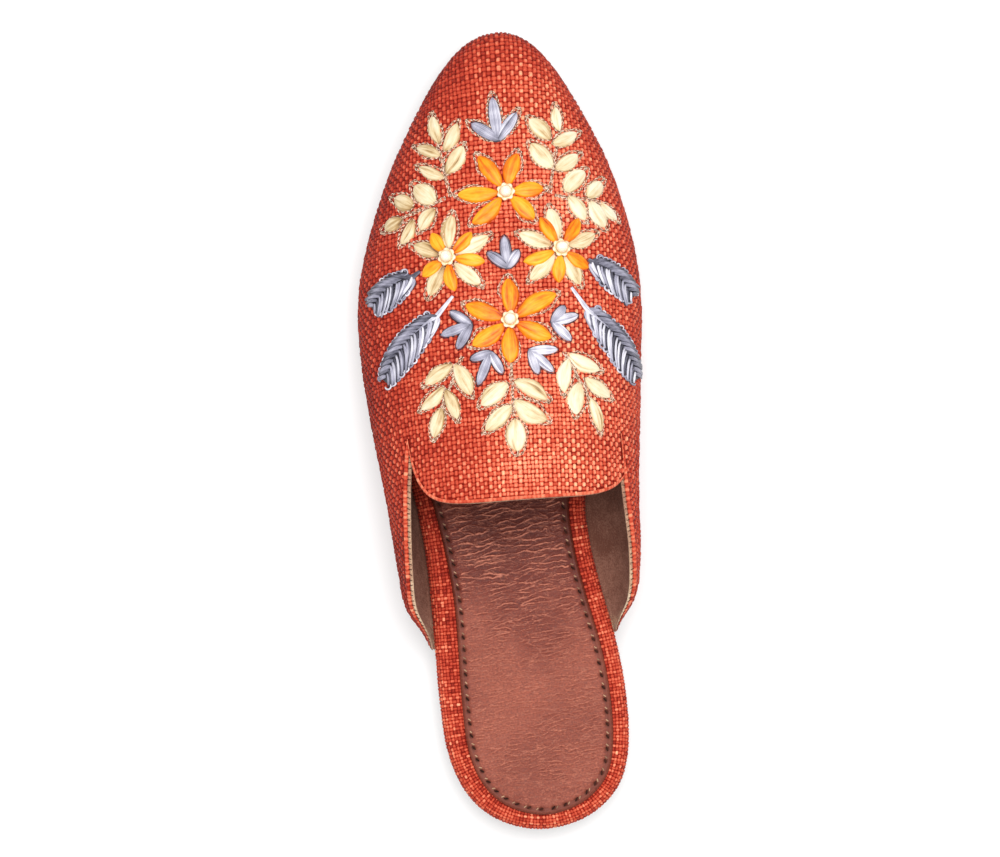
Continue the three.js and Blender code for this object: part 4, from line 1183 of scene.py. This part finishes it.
def build_outsole():
    """Moulded unit with ribbed tread under the ball and the heel."""
    extra = np.array([BREAST - 0.4, BREAST, BREAST + 0.8, BREAST + 1.7, BREAST + BREAST_RUN])
    d = np.concatenate([np.arange(*SOLE_ROWS), extra])
    turn = np.sort(np.concatenate([[0.0, math.pi], turn_at(FOOTBED, d), np.linspace(0, 0.3, 8)[1:],
                                   np.linspace(math.pi - 0.4, math.pi, 10)[:-1]]))
    reach = lerp(SOLE_UNDER_UPPER, SOLE_UNDER_FOOTBED, step(toe_of_turn(FOOTBED, turn), *SOLE_NARROWS))

    def wall(side):
        """Lines along one side, from the foot of the bevel up to the top edge."""
        lines = []
        for t in BEVEL_STEPS:
            edge = sole_edge(side, turn, reach - SOLE_BEVEL * (1 - t) ** 2)
            lines.append(np.column_stack([edge, sole_under(toe_of(edge)) + SOLE_BEVEL * (1 - (1 - t) ** 0.5)]))
        edge = sole_edge(side, turn, reach)
        low, high = sole_under(toe_of(edge)) + SOLE_BEVEL, sole_top(toe_of(edge))
        return lines + [np.column_stack([edge, lerp(low, high, share)]) for share in WALL_STEPS]

    right, left = wall(1.0), wall(-1.0)
    under = []
    for k in np.linspace(0, 1, 11)[1:-1]:
        p = lerp(right[0], left[0], k)
        e = toe_of(p)
        tread = sum(step(e, start, full) * (1 - step(e, fades, end)) for start, full, fades, end in TREAD_ZONES)
        tread = tread * step(min(k, 1 - k), 0.02, 0.12)
        rib = np.clip(1.6 * np.sin(e * 2 * math.pi / TREAD_PITCH + TREAD_BEND * abs(k - 0.5)), 0, 1)
        p[:, 2] = sole_under(e) + TREAD_DEPTH * rib * tread
        under.append(p)
    ring = np.stack(right[::-1] + under + left, 1)
    count, cols = ring.shape[:2]
    a = np.arange(count - 1) * cols
    top = quads(a, a + cols, a + 2 * cols - 1, a + cols - 1)
    points, faces, _ = weld(ring.reshape(-1, 3), np.concatenate([grid_tris(count, cols), top]))
    obj = piece("sole_unit", points, facing_up(points, faces), RUBBER, ["outsole"])
    obj.data.set_sharp_from_angle(angle=math.radians(40))


# ---------------------------------------------------------------- embroidery

# The surface that embroidery is laid on: rows and columns of each half, its rear end, and heights from which it
# is looked for.
TREE_ROWS, TREE_COLS, TREE_END, RAY_FROM, NEAR_HEIGHT = 150, 70, 160.0, 120.0, 20.0


def vamp_tree():
    rows, cols = TREE_ROWS, TREE_COLS
    turns = np.linspace(0, float(turn_at(UPPER, TREE_END)), rows)[:, None]
    rises = np.linspace(0.1, 1, cols)[None]
    points = np.concatenate([upper_point(turns, side, rises).reshape(-1, 3) for side in (-1.0, 1.0)])
    tris = np.concatenate([grid_tris(rows, cols, base) for base in (0, rows * cols)])
    return BVHTree.FromPolygons([tuple(p) for p in points], tris.tolist())


TREE = vamp_tree()
DOWN = Vector((0, 0, -1))


def lay(x, d, height):
    """Points a height above the upper, straight under places in plan, and the upper's normals there."""
    x, d, height = np.broadcast_arrays(np.asarray(x, float), np.asarray(d, float), np.asarray(height, float))
    out, normals = np.zeros(x.shape + (3,)), np.zeros(x.shape + (3,))
    for i in np.ndindex(x.shape):
        hit, n, _, _ = TREE.ray_cast(Vector((x[i], y_at(d[i]), RAY_FROM)), DOWN)
        if hit is None:
            hit, n, _, _ = TREE.find_nearest(Vector((x[i], y_at(d[i]), NEAR_HEIGHT)))
        n = n if n.z > 0 else -n
        out[i], normals[i] = hit + n * height[i], n
    return out, normals


def heading_vector(heading):
    """Plan direction as (across, from toe) of a heading counted from the inner side towards the toe."""
    return np.array([math.cos(math.radians(heading)), -math.sin(math.radians(heading))])


LEAF_STEPS, LEAF_COLS = 20, 13


def leaf_half(t, width, shape):
    """Half width along a leaf, for a shape given as its fullness and the shift of its widest place."""
    full, skew = shape
    return np.sin(math.pi * t ** skew).clip(0) ** full * width / 2


def ribbon_leaf(pile, leaf, shape, relief, tone, rng):
    """One ribbon stitch: crowned, creased along its length, pinched at both ends, edges tucked to the cloth."""
    start, heading, length, width = leaf
    way = heading_vector(heading)
    side = left_of(way)
    t, c = np.meshgrid(np.linspace(0, 1, LEAF_STEPS + 1), np.linspace(-1, 1, LEAF_COLS), indexing="ij")
    half = np.maximum(leaf_half(t, width, shape), 0.12)
    lopsided = 1 + rng.uniform(-0.14, 0.14) * c
    bend = rng.uniform(-0.06, 0.06) * length * np.sin(math.pi * t)
    off = half * c * lopsided + bend
    x, d = (start[k] + way[k] * length * t + side[k] * off for k in range(2))
    crown = (1 - np.abs(c) ** 4) ** 0.6
    arch = np.clip(np.sin(math.pi * np.clip(t * 0.94 + 0.03, 0, 1)), 0, 1) ** 0.45
    height = -0.1 + (relief * rng.uniform(0.85, 1.12)) * crown * arch
    fold = np.zeros_like(t)
    for _ in range(3):
        at, slope = rng.uniform(-0.6, 0.6), rng.uniform(-0.4, 0.4)
        depth, thin = rng.uniform(0.12, 0.34), rng.uniform(0.08, 0.2)
        spread = np.exp(-((t - rng.uniform(0.2, 0.8)) / 0.32) ** 2)
        fold += depth * np.exp(-((c - at - slope * (t - 0.5)) / thin) ** 2) * spread * crown
    pleat = 0.1 * np.cos(c * 9 + rng.uniform(0, 6)) * np.exp(-t / 0.16) * crown
    height += pleat - fold + 0.08 * np.sin(2.2 * c + 3 * t + rng.uniform(0, 6)) * crown * arch
    painted_side_light = rng.choice((-1.0, 1.0)) * 0.12
    points, _ = lay(x, d, height)
    # Painted light and shade: lighter over the crown, darker at the root, in the folds and at the edges, and one
    # side lighter than the other.
    shade = tone + 0.26 * (crown * arch - 0.75) - 0.3 * np.exp(-t / 0.12)
    shade = shade + 0.12 * np.sin(3 * t + rng.uniform(0, 6)) - 0.9 * fold + painted_side_light * c - 0.3 * np.abs(c) ** 7
    uv = np.stack([t * length / 4 + rng.uniform(0, 60), c * width / 4 + rng.uniform(0, 60)], -1)
    tris = grid_tris(LEAF_STEPS + 1, LEAF_COLS)
    a, b, e = points.reshape(-1, 3)[tris[len(tris) // 4]]
    pile.add(points, tris if np.cross(b - a, e - a)[2] > 0 else tris[:, ::-1], uv, shade.ravel())


def leaf_outline(leaf, shape, grow=0.05):
    """Plan outline along a leaf's edge, drawn out to a point past its tip."""
    start, heading, length, width = leaf
    way = heading_vector(heading)
    t = np.linspace(0, 1, 31)
    half = leaf_half(t, width, shape) + grow * np.sin(math.pi * t).clip(0) ** 0.4
    middle = start + way * (length * t + 1.5 * step(t, 0.82, 1.0))[:, None]
    right, left = (middle + sign * left_of(way) * half[:, None] for sign in (1, -1))
    spike = [right[-1], start + way * (length - 0.2), right[-1]]
    return np.concatenate([right, spike, left[::-1]])


# The outline cord: half swing, length of a wave and radius of its strands, step along them, wobble and height.
ZARI_REACH, ZARI_WAVE, ZARI_RADIUS, ZARI_STEP, ZARI_WOBBLE, ZARI_LIFT = 0.3, 1.5, 0.15, 0.3, 0.12, 0.3


def chain(pile, path, rng):
    """Two fine metallic strands that cross over each other along a plan path."""
    run = run_along(path)
    count = max(8, int(run[-1] / ZARI_STEP))
    s = np.linspace(0, run[-1], count)
    line = at_run(s, run, path)
    line += ZARI_WOBBLE * np.column_stack([ripple(s[:, None], 5.0, int(rng.integers(1e6))) for _ in range(2)])
    way = unit(np.gradient(line, axis=0))
    side = np.column_stack([-way[:, 1], way[:, 0]])
    waves = max(1, round(run[-1] / ZARI_WAVE))
    turn = math.pi * waves * s / run[-1] + rng.uniform(0, 6)
    for sign in (-1, 1):
        place = line + sign * ZARI_REACH * np.sin(turn)[:, None] * side
        points, normals = lay(place[:, 0], place[:, 1], ZARI_LIFT + 0.1 * sign * np.cos(turn))
        body, tris, uv = tube(points, normals, ZARI_RADIUS, ZARI_RADIUS, 4)
        glint = 0.58 + 0.34 * np.sin(turn * 2 + rng.uniform(0, 6)) + 0.16 * rng.normal(size=count)
        pile.add(body, tris, uv, np.repeat(glint, 4))


FLOWERS = {
    "toe": ((4.1, 53.4), 5.4, ((3, 12.6), (71, 13.6), (124, 15.2), (180, 16), (220, 15.2), (313, 13)), ()),
    "outer": ((-16.2, 74), 4.8, ((351, 12.4), (44, 11.6), (120, 9.8), (214, 10.4), (279, 11.4)),
              ((25, 15.4), (81, 14.6), (157, 12), (241, 14.2), (318, 14))),
    "inner": ((21.1, 72.9), 4.8, ((322, 11.4), (56, 11.8), (120, 12.4), (197, 13), (265, 11.4)),
              ((20, 12.6), (102, 14), (157, 14.6), (223, 14.4), (296, 13.6))),
    "instep": ((3.3, 95.8), 6.0, ((27, 17.6), (90, 14), (158, 15.6), (211, 15), (268, 14.2), (334, 14.8)), ()),
}
TREFOILS = {
    "toe": ((2.5, 35.8), 4.0, ((95, 14.7), (146, 10.9), (53, 11.3))),
    "middle": ((3.5, 78.2), 3.6, ((94, 11), (141, 8.8), (55, 7.2))),
    "outer": ((-9.7, 96.5), 3.3, ((146, 8.6), (198, 11), (239, 9.8))),
    "inner": ((17.3, 97.4), 3.5, ((52, 7.3), (14, 9.2), (312, 8.9))),
    "back_outer": ((-3.7, 106.2), 3.2, ((197, 7.5), (246, 12.1), (297, 8.5))),
    "back_inner": ((9.4, 106.2), 3.3, ((359, 9.5), (314, 10.9), (286, 8.7))),
}
# Stem foot, heading and reach; then each leaf's middle, heading, length and width.
SPRIGS = {
    "toe_outer": ((-14.3, 53.4), 101, 17.8, (
        (-17.9, 31.5, 101, 9.8, 4.4), (-13.2, 34.2, 62, 10.4, 4.7), (-20.6, 38.5, 158, 8.5, 4.4),
        (-12.3, 41.7, 56, 11, 6), (-19.9, 45.4, 154, 9.4, 4.4))),
    "side_outer": ((-16.4, 54.4), 202, 15.2, (
        (-22.7, 52.7, 136, 9, 7), (-29.6, 55, 152, 7, 6), (-33.4, 62, 212, 7, 4.5),
        (-22.1, 60.9, 233, 9, 5), (-29.1, 64.6, 241, 9.4, 4))),
    "toe_inner": ((18.6, 54), 79, 19.6, (
        (16.4, 33, 133, 9.8, 5.8), (22.3, 29.9, 96, 8.3, 3.7), (24.4, 36.5, 22, 9, 5),
        (16.6, 41.8, 129, 11, 6.4), (24.6, 44.3, 31, 9, 5.4))),
    "side_inner": ((20.6, 55.4), 349, 15.0, (
        (27, 50.9, 45, 9.6, 6.4), (33.3, 53.9, 46, 7, 5.4), (27.2, 59.7, 302, 10, 5),
        (33.9, 62.1, 297, 10.2, 5.4), (37.7, 61.3, 310, 8, 3.4))),
    "back_outer": ((-13.2, 107.4), 245, 18.0, (
        (-21, 112.5, 214, 11.4, 5), (-13.3, 114.6, 295, 11.5, 6), (-23.5, 120.2, 223, 10.8, 4.4),
        (-17.5, 122.5, 289, 10.6, 4.8), (-22.2, 128.4, 252, 10.5, 4.8))),
    "back_middle": ((2.9, 112), 270, 15.8, (
        (-3.1, 119.9, 217, 11.5, 6.4), (8.8, 119.2, 328, 12.5, 5.8), (-2.1, 127.8, 221, 12.2, 5.8),
        (8.5, 125.9, 325, 12.8, 6.8), (3.5, 133.8, 271, 10.9, 7.1))),
    "back_inner": ((20.8, 107.6), 295, 17.4, (
        (26.9, 110.9, 330, 11.8, 5.4), (20.9, 115, 260, 11.3, 5.1), (24.3, 122.7, 262, 10.9, 6.1),
        (30.9, 119.6, 319, 10.4, 4.8), (29.8, 128.4, 284, 11.7, 3.7))),
}
FEATHERS = {
    "front_outer": ((-25.5, 78.1), 216, 3.1, 17.4, 9.6),
    "back_outer": ((-15.1, 86.9), 229, 8.6, 28.4, 9.6),
    "front_inner": ((30, 77), 316, 1.5, 18.4, 8.8),
    "back_inner": ((24, 86), 302, 9.2, 29, 9.0),
}
# Fullness and shift of each kind of leaf. Petals, and the cream leaves between them, start so far from the
# flower's middle; cream leaves are so much wider; and a petal's outline leaves out the part next to the pearl.
PETAL_SHAPE, CREAM_SHAPE, TREFOIL_SHAPE, TREFOIL_OUTLINE = (0.62, 1.2), (0.6, 1.1), (0.45, 1.1), (0.5, 1.1)
PETAL_START, CREAM_START, CREAM_WIDER, PETAL_BARE = 1.6, 2.6, 0.6, 3
# Share of the blade by which a feather bows to the toe, share of its width by which its rib lies
# off the middle, size of the curl at its root, and the stem from which it is the pale kind.
FEATHER_BOW, RIB_SHIFT, CURL, LONG_STEM = 0.05, 0.13, 1.1, 5.0
# The two halves of a feather: tone of a strand and the painted highlight on its raised middle, half width; then
# size, half width and spacing of the loops along the edge.
DARK_HALF = {"shade": (0.14, 0.48), "painted_middle_light": 0.24, "wide": (0.5, 0.8),
             "loop": (0.5, 0.8), "loop_wide": 0.22, "loop_step": (1.3, 2.1)}
LIGHT_HALF = {"shade": (0.55, 1.0), "painted_middle_light": 0.14, "wide": (0.36, 0.58),
              "loop": (0.7, 1.05), "loop_wide": 0.34, "loop_step": (1.6, 2.4)}


def cream_tone(start, rng):
    """The cream ribbon is darker on the outer side, a painted shade, and bright on the inner side and over the
    instep.
    """
    tone = 0.68 + 0.005 * start[0] + 0.1 * step(start[1], 95, 115)
    return np.clip(tone, 0.48, 0.86) + rng.uniform(-0.1, 0.1)


def build_flowers(cords):
    for k, (name, (centre, width, petals, between)) in enumerate(FLOWERS.items()):
        rng = np.random.default_rng(100 + k)
        orange, cream = Pile(), Pile()
        for heading, reach in between:
            start = np.array(centre) + heading_vector(heading) * CREAM_START
            leaf = (start, heading, reach - CREAM_START, width + CREAM_WIDER)
            ribbon_leaf(cream, leaf, CREAM_SHAPE, 1.0, cream_tone(start, rng), rng)
            chain(cords, leaf_outline(leaf, CREAM_SHAPE), rng)
        for heading, reach in petals:
            way = heading_vector(heading)
            start, length = np.array(centre) + way * PETAL_START, reach - PETAL_START
            wide = width * (1.0 if between else 1.08)
            ribbon_leaf(orange, (start, heading, length, wide), PETAL_SHAPE, 1.5, rng.uniform(0.48, 0.72), rng)
            if not between:
                tip = (start + way * PETAL_BARE, heading, length - PETAL_BARE, wide)
                chain(cords, leaf_outline(tip, PETAL_SHAPE), rng)
        orange.done(f"flower_{name}_petals", ORANGE, "satin_ribbon", [f"flower_{name}"])
        if between:
            cream.done(f"flower_{name}_cream", CREAM, "cream_ribbon")


def build_sprigs(cords):
    for k, (name, (foot, heading, reach, leaves)) in enumerate(SPRIGS.items()):
        rng = np.random.default_rng(200 + k)
        pile = Pile()
        for x, d, turn, length, width in leaves:
            start = np.array([x, d]) - heading_vector(turn) * length / 2
            leaf = (start, turn, length, width)
            shape = (0.5 if width > 0.62 * length else 0.6, 1.05)
            ribbon_leaf(pile, leaf, shape, 1.25, cream_tone(start, rng), rng)
            chain(cords, leaf_outline(leaf, shape), rng)
        way = heading_vector(heading)
        stem = np.array(foot) + way * np.linspace(-0.5, reach, 12)[:, None]
        for aside in (-0.28, 0.28):
            chain(cords, stem + aside * left_of(way), rng)
        pile.done(f"sprig_{name}_leaves", CREAM, "cream_ribbon", [f"sprig_{name}"])


def strand(pile, plan, height, half_width, half_height, tone, sides=6):
    points, normals = lay(plan[:, 0], plan[:, 1], height)
    body, tris, uv = tube(points, normals, half_width, half_height, sides)
    pile.add(body, tris, uv, np.repeat(np.broadcast_to(tone, (len(plan),)), sides))


def build_trefoils(cords):
    """Three leaves of long strands side by side, each with a dark edge."""
    t, rim = np.linspace(0, 1, 13), np.linspace(0, 1, 15)
    for k, (name, (foot, width, leaves)) in enumerate(TREFOILS.items()):
        rng = np.random.default_rng(300 + k)
        pile = Pile()
        foot = np.array(foot)
        half, out = leaf_half(t, width, TREFOIL_SHAPE), leaf_half(rim, width, TREFOIL_SHAPE) + 0.1
        for heading, length in leaves:
            way = heading_vector(heading)
            side = left_of(way)
            # Painted shade: darker towards the outer side and on leaves that point that way.
            shade = np.clip(0.64 + 0.004 * foot[0] + 0.12 * way[0], 0.45, 0.76) + rng.uniform(-0.06, 0.06)
            for c in np.linspace(-0.8, 0.8, 6):
                c = c + rng.uniform(-0.05, 0.05)
                plan = foot + way * (length * t - 0.6)[:, None] + side * (half * c * 0.86)[:, None]
                lift = 0.25 + (0.72 - 0.45 * c * c) * np.sin(math.pi * (0.06 + 0.88 * t)) ** 0.5
                # Painted highlight along each strand's raised middle and painted shade at its root.
                tone = shade + rng.normal(0, 0.1) + 0.1 * np.sin(math.pi * t) - 0.3 * np.exp(-t / 0.1)
                strand(pile, plan, lift, np.maximum(half * 0.3, 0.2), 0.36, tone)
            for c in (-1, 1):
                plan = foot + way * (length * rim * 1.06 - 0.7)[:, None] + side * (c * out)[:, None]
                strand(pile, plan, 0.22, 0.15, 0.16, rng.uniform(0.0, 0.14), 5)
            if name == "toe":
                chain(cords, leaf_outline((foot, heading, length, width), TREFOIL_OUTLINE, 0.45), rng)
        pile.done(f"trefoil_{name}_threads", GREY, "thread", [f"trefoil_{name}"])


def build_feather(pile, rng, foot, heading, stem, blade, width):
    """Slanting flat strands either side of a rib, dark ones to the toe; looped edges, a curl and a stem."""
    way = heading_vector(heading)
    side = left_of(way)
    base = np.array(foot) + way * stem
    toe_side = 1 if side[1] < 0 else -1
    bow = toe_side * FEATHER_BOW * blade

    def at(run, off):
        return base + way * run + side * (off + bow * math.sin(math.pi * min(max(run / blade, 0), 1)))

    def outer(s, which):
        """Half width: blunt at the root in the dark half, drawn out in the light half."""
        start = 0.14 if which == toe_side else 0.03
        return width / 2 * math.sin(math.pi * min(1, start + (0.96 - start) * s) ** 1.05) ** 0.5

    def rib(s):
        """The light half is the wider one, so the rib lies nearer to the toe."""
        return toe_side * RIB_SHIFT * width * math.sin(math.pi * min(max(s, 0), 1))

    def rows_of(which, dark, kind):
        """Strands from the rib to the edge; every third light one is a dark gap strand, a painted shadow between
        bundles.
        """
        pairs = 15 if blade > 24 else 11
        rows = pairs if dark else int(1.5 * pairs)
        t = np.linspace(0, 1, 9)
        for row in range(rows):
            share = row / (rows - 1)
            gap = not dark and row % 3 == 2
            root = 0.9 * share * blade + rng.uniform(-0.3, 0.3)
            reach = outer(0.9 * share + 0.1, which) * rng.uniform(0.9, 1.02)
            forward = min(reach * rng.uniform(1.0, 1.3) + 0.6, 0.98 * blade - root)
            if not dark:
                root = max(root - 0.4 * reach, 0.1)
                forward = min(reach * rng.uniform(1.5, 1.9), 0.98 * blade - root)
            inner = rib(root / blade)
            plan = np.array([at(root + forward * s * (0.55 + 0.45 * s), inner + (which * reach - inner) * b)
                             for s, b in zip(t, t * (1.25 - 0.25 * t))])
            shade = rng.uniform(*kind["shade"])
            # Gap strands are painted shadow; each strand has a painted highlight on its raised middle and darkens
            # towards its end.
            tone = (0.3 * shade if gap else shade) + kind["painted_middle_light"] * np.sin(math.pi * t) - 0.14 * t
            lift = 0.5 + 0.5 * np.sin(math.pi * (0.1 + 0.8 * t)) ** 0.7 + rng.uniform(-0.14, 0.14)
            wide = rng.uniform(*kind["wide"])
            wide = (0.3 if gap else wide) * np.sin(math.pi * (0.14 + 0.74 * t)) ** 0.5 + 0.1
            strand(pile, plan, lift - (0.15 if gap else 0), wide, 0.3, tone)

    def loops_of(which, s, kind):
        """Small loops along the edge, each with a dark stroke at its middle, a painted shadow."""
        edge = np.array([at(blade * s, which * (outer(s, which) - 0.25)) for s in np.linspace(0.04, 0.99, 60)])
        run = run_along(edge)
        turn = np.linspace(-0.2, 1.2, 9) * math.pi
        while s < run[-1]:
            middle = at_run(s, run, edge)
            ahead = unit(at_run(s + 0.4, run, edge) - middle) if s + 0.4 < run[-1] else way
            outwards = which * side * rng.uniform(0.6, 1.0)
            loop = np.cos(turn)[:, None] * ahead + np.sin(turn)[:, None] * outwards
            loop = middle + rng.uniform(*kind["loop"]) * loop
            lift, tone = 0.62 + 0.14 * np.sin(turn), rng.uniform(0.5, 1.05)
            strand(pile, loop, lift, kind["loop_wide"], 0.26, tone, 5)
            knot = middle + np.linspace(-0.25, 0.35, 4)[:, None] * outwards
            strand(pile, knot, 0.62, 0.24, 0.16, rng.uniform(0.0, 0.14), 5)
            s += rng.uniform(*kind["loop_step"])

    # A dark under-layer of strands, a painted shade that shows between the strands above; darkest under the dark
    # half.
    run = np.linspace(0.03, 0.96, 16)
    for c in np.linspace(-0.85, 0.85, 9):
        plan = np.array([at(blade * r, 0.92 * c * outer(r, math.copysign(1, c))) for r in run])
        tone = rng.uniform(0.02, 0.12) + (0 if c * toe_side > 0 else 0.12)
        strand(pile, plan, 0.2, width * 0.11, 0.3, tone, 6)
    for which in (1, -1):
        dark = which == toe_side
        kind = DARK_HALF if dark else LIGHT_HALF
        rows_of(which, dark, kind)
        loops_of(which, 0.5 if dark else 0.24 * blade, kind)
    taper = np.sin(math.pi * (0.12 + 0.8 * np.linspace(0, 1, 12))) ** 0.5
    for c in (0.3, 0.62, 0.94):
        run = np.linspace(-0.02, rng.uniform(0.3, 0.42), 12)
        plan = np.array([at(blade * r, -toe_side * c * outer(max(r, 0), -toe_side) * (r > 0)) for r in run])
        strand(pile, plan, 0.72 - 0.2 * c, 0.5 * taper, 0.3, rng.uniform(0.66, 0.95))
    turn = np.linspace(0, 1.8, 18) * math.pi
    coil = np.cos(turn)[:, None] * way - np.sin(turn)[:, None] * side
    coil = CURL * np.linspace(1.15, 0.7, 18)[:, None] * coil
    curl = at(0.05 * blade, 0.78 * toe_side * outer(0.06, toe_side)) + coil
    strand(pile, curl, 0.9, 0.25, 0.25, np.linspace(0.5, 0.9, 18))
    for c, into in ((-0.5, 0.14), (0.05, 0.3), (0.5, 0.22)):
        run = np.linspace(-stem, into * blade, 26)
        spread = np.interp(run, [-stem, 0, into * blade], [0.35, 1, 0.15])
        plan = np.array([at(r, c * w + rib(r / blade)) for r, w in zip(run, spread)])
        lift = np.interp(run, [-stem, -1, 1.5], [0.45, 0.6, 0.85]) + 0.1 * rng.uniform()
        bright = 0.98 if stem > LONG_STEM else 0.42
        tone = bright + rng.uniform(-0.25, 0.05) - 0.25 * np.clip(run / (into * blade), 0, 1)
        strand(pile, plan, lift, np.where(run < 0, 0.3 + 0.14 * spread, 0.08 + 0.36 * spread), 0.3, tone)


def build_feathers():
    for k, (name, feather) in enumerate(FEATHERS.items()):
        pile = Pile()
        build_feather(pile, np.random.default_rng(400 + k), *feather)
        pile.done(f"feather_{name}_threads", GREY, "thread", [f"feather_{name}"])


# Rings of a pearl's cup: radius, height, depth of the notches between lobes and tone, which is a painted shade at
# the cup's foot and where it tucks under the bead; then the bead.
CUP = ((0.6, 0.35, 0, 0.2), (2.3, 0.35, 0.2, 0.2), (3.05, 0.75, 0.5, 0.4), (3.1, 1.15, 0.5, 0.5),
       (2.75, 1.5, 0.35, 0.55), (2.25, 1.45, 0.2, 0.3), (1.75, 1.3, 0.05, 0.1))
LOBES, PEARL_COLS, BEAD, BEAD_HEIGHT, PEARL_LIFT = 7, 85, 1.95, 2.05, 0.55


def build_pearls():
    """A bead in a cup of small lobes, square to the upper."""
    around = np.linspace(0, 2 * math.pi, PEARL_COLS)
    same = np.ones(PEARL_COLS)
    for k, (name, (centre, *_)) in enumerate(FLOWERS.items()):
        (foot,), (up,) = lay([centre[0]], [centre[1]], [0.0])
        right = unit(np.cross(np.array([0, 1.0, 0]), up))
        ahead = np.cross(up, right)
        lobes = 0.5 + 0.5 * np.cos(LOBES * around + k)
        rings = [(r - wave * (1 - lobes) ** 1.5, h + 0.3 * wave * lobes, tone + 0.25 * lobes - 0.1)
                 for r, h, wave, tone in CUP]
        # The bead is painted lighter towards its top, a painted highlight.
        for a in np.radians(np.linspace(-48, 90, 16)):
            rings.append((same * max(BEAD * math.cos(a), 1e-4), same * (BEAD_HEIGHT + BEAD * math.sin(a)),
                          same * (0.62 + 0.3 * max(0, math.sin(a)))))
        points = np.concatenate([foot + up * PEARL_LIFT + np.outer(r * np.cos(around), right)
                                 + np.outer(r * np.sin(around), ahead) + np.outer(h, up) for r, h, _ in rings])
        points, tris, place = weld(points, grid_tris(len(rings), PEARL_COLS))
        tone = np.zeros(len(points))
        tone[place] = np.concatenate([tones for _, _, tones in rings])
        tris = facing_up(points, tris, up)
        piece(f"pearl_{name}_bead", points, tris, PEARL, [f"pearl_{name}"], None, {"tone": tone})


# ---------------------------------------------------------------- the shoe

build_upper()
build_collar_fold()
build_lining()
build_lining_stitches()
build_footbed()
build_sock()
build_sock_stitches()
build_outsole()
CORDS = Pile()
build_flowers(CORDS)
build_sprigs(CORDS)
build_trefoils(CORDS)
build_feathers()
build_pearls()
CORDS.done("outline_cord", ZARI, "thread")


# ---------------------------------------------------------------- floor, light and camera

FLOOR_SIZE, FLOOR_STEPS, FLOOR_DROP = 6.0, 12, 0.0003
# Lamps: place, size and watts, all towards the shoe.
LAMPS = {"key": ((0.2, 0.35, 1.6), 0.9, 16), "top": ((-0.05, -0.1, 2.0), 1.8, 27)}
# The camera looks straight down; the picture spans so many millimetres and is turned as the shoe in the photo.
CAMERA_PLACE, CAMERA_RISE, CAMERA_TURN, PICTURE_SPAN, SENSOR = (-0.00188, 0.00116), 6.0, -2.98, 332.46, 36.0


def studio():
    scene = bpy.context.scene
    scene.view_settings.view_transform = "Standard"
    scene.world = bpy.data.worlds.new("studio")
    scene.world.use_nodes = True
    sky = scene.world.node_tree.nodes["Background"].inputs
    sky["Color"].default_value, sky["Strength"].default_value = (1.0, 0.99, 0.98, 1.0), 0.4

    def add(name, data, place):
        obj = bpy.data.objects.new(name, data)
        obj.location = place
        scene.collection.objects.link(obj)
        return obj

    grid = np.linspace(-FLOOR_SIZE / 2, FLOOR_SIZE / 2, FLOOR_STEPS + 1)
    x, y = np.meshgrid(grid, grid, indexing="ij")
    mesh = bpy.data.meshes.new("floor")
    points = np.dstack([x, y, np.zeros_like(x)]).reshape(-1, 3)
    mesh.from_pydata(points.tolist(), [], grid_tris(len(grid), len(grid)).tolist())
    mesh.materials.append(floor_look())
    floor = add("floor", mesh, (0, 0, -FLOOR_DROP))

    for name, (place, size, watts) in LAMPS.items():
        light = bpy.data.lights.new(name, "AREA")
        light.shape, light.size, light.size_y, light.energy = "RECTANGLE", size, size, watts
        obj = add(name, light, place)
        obj.rotation_euler = (-Vector(place)).to_track_quat("-Z", "Y").to_euler()

    camera = bpy.data.cameras.new("camera")
    camera.sensor_width = SENSOR
    camera.lens = SENSOR * CAMERA_RISE * 1000 / PICTURE_SPAN
    camera.clip_end = 20.0
    scene.camera = add("camera", camera, (*CAMERA_PLACE, CAMERA_RISE + 0.02))
    scene.camera.rotation_euler = (0, 0, math.radians(CAMERA_TURN))


studio()
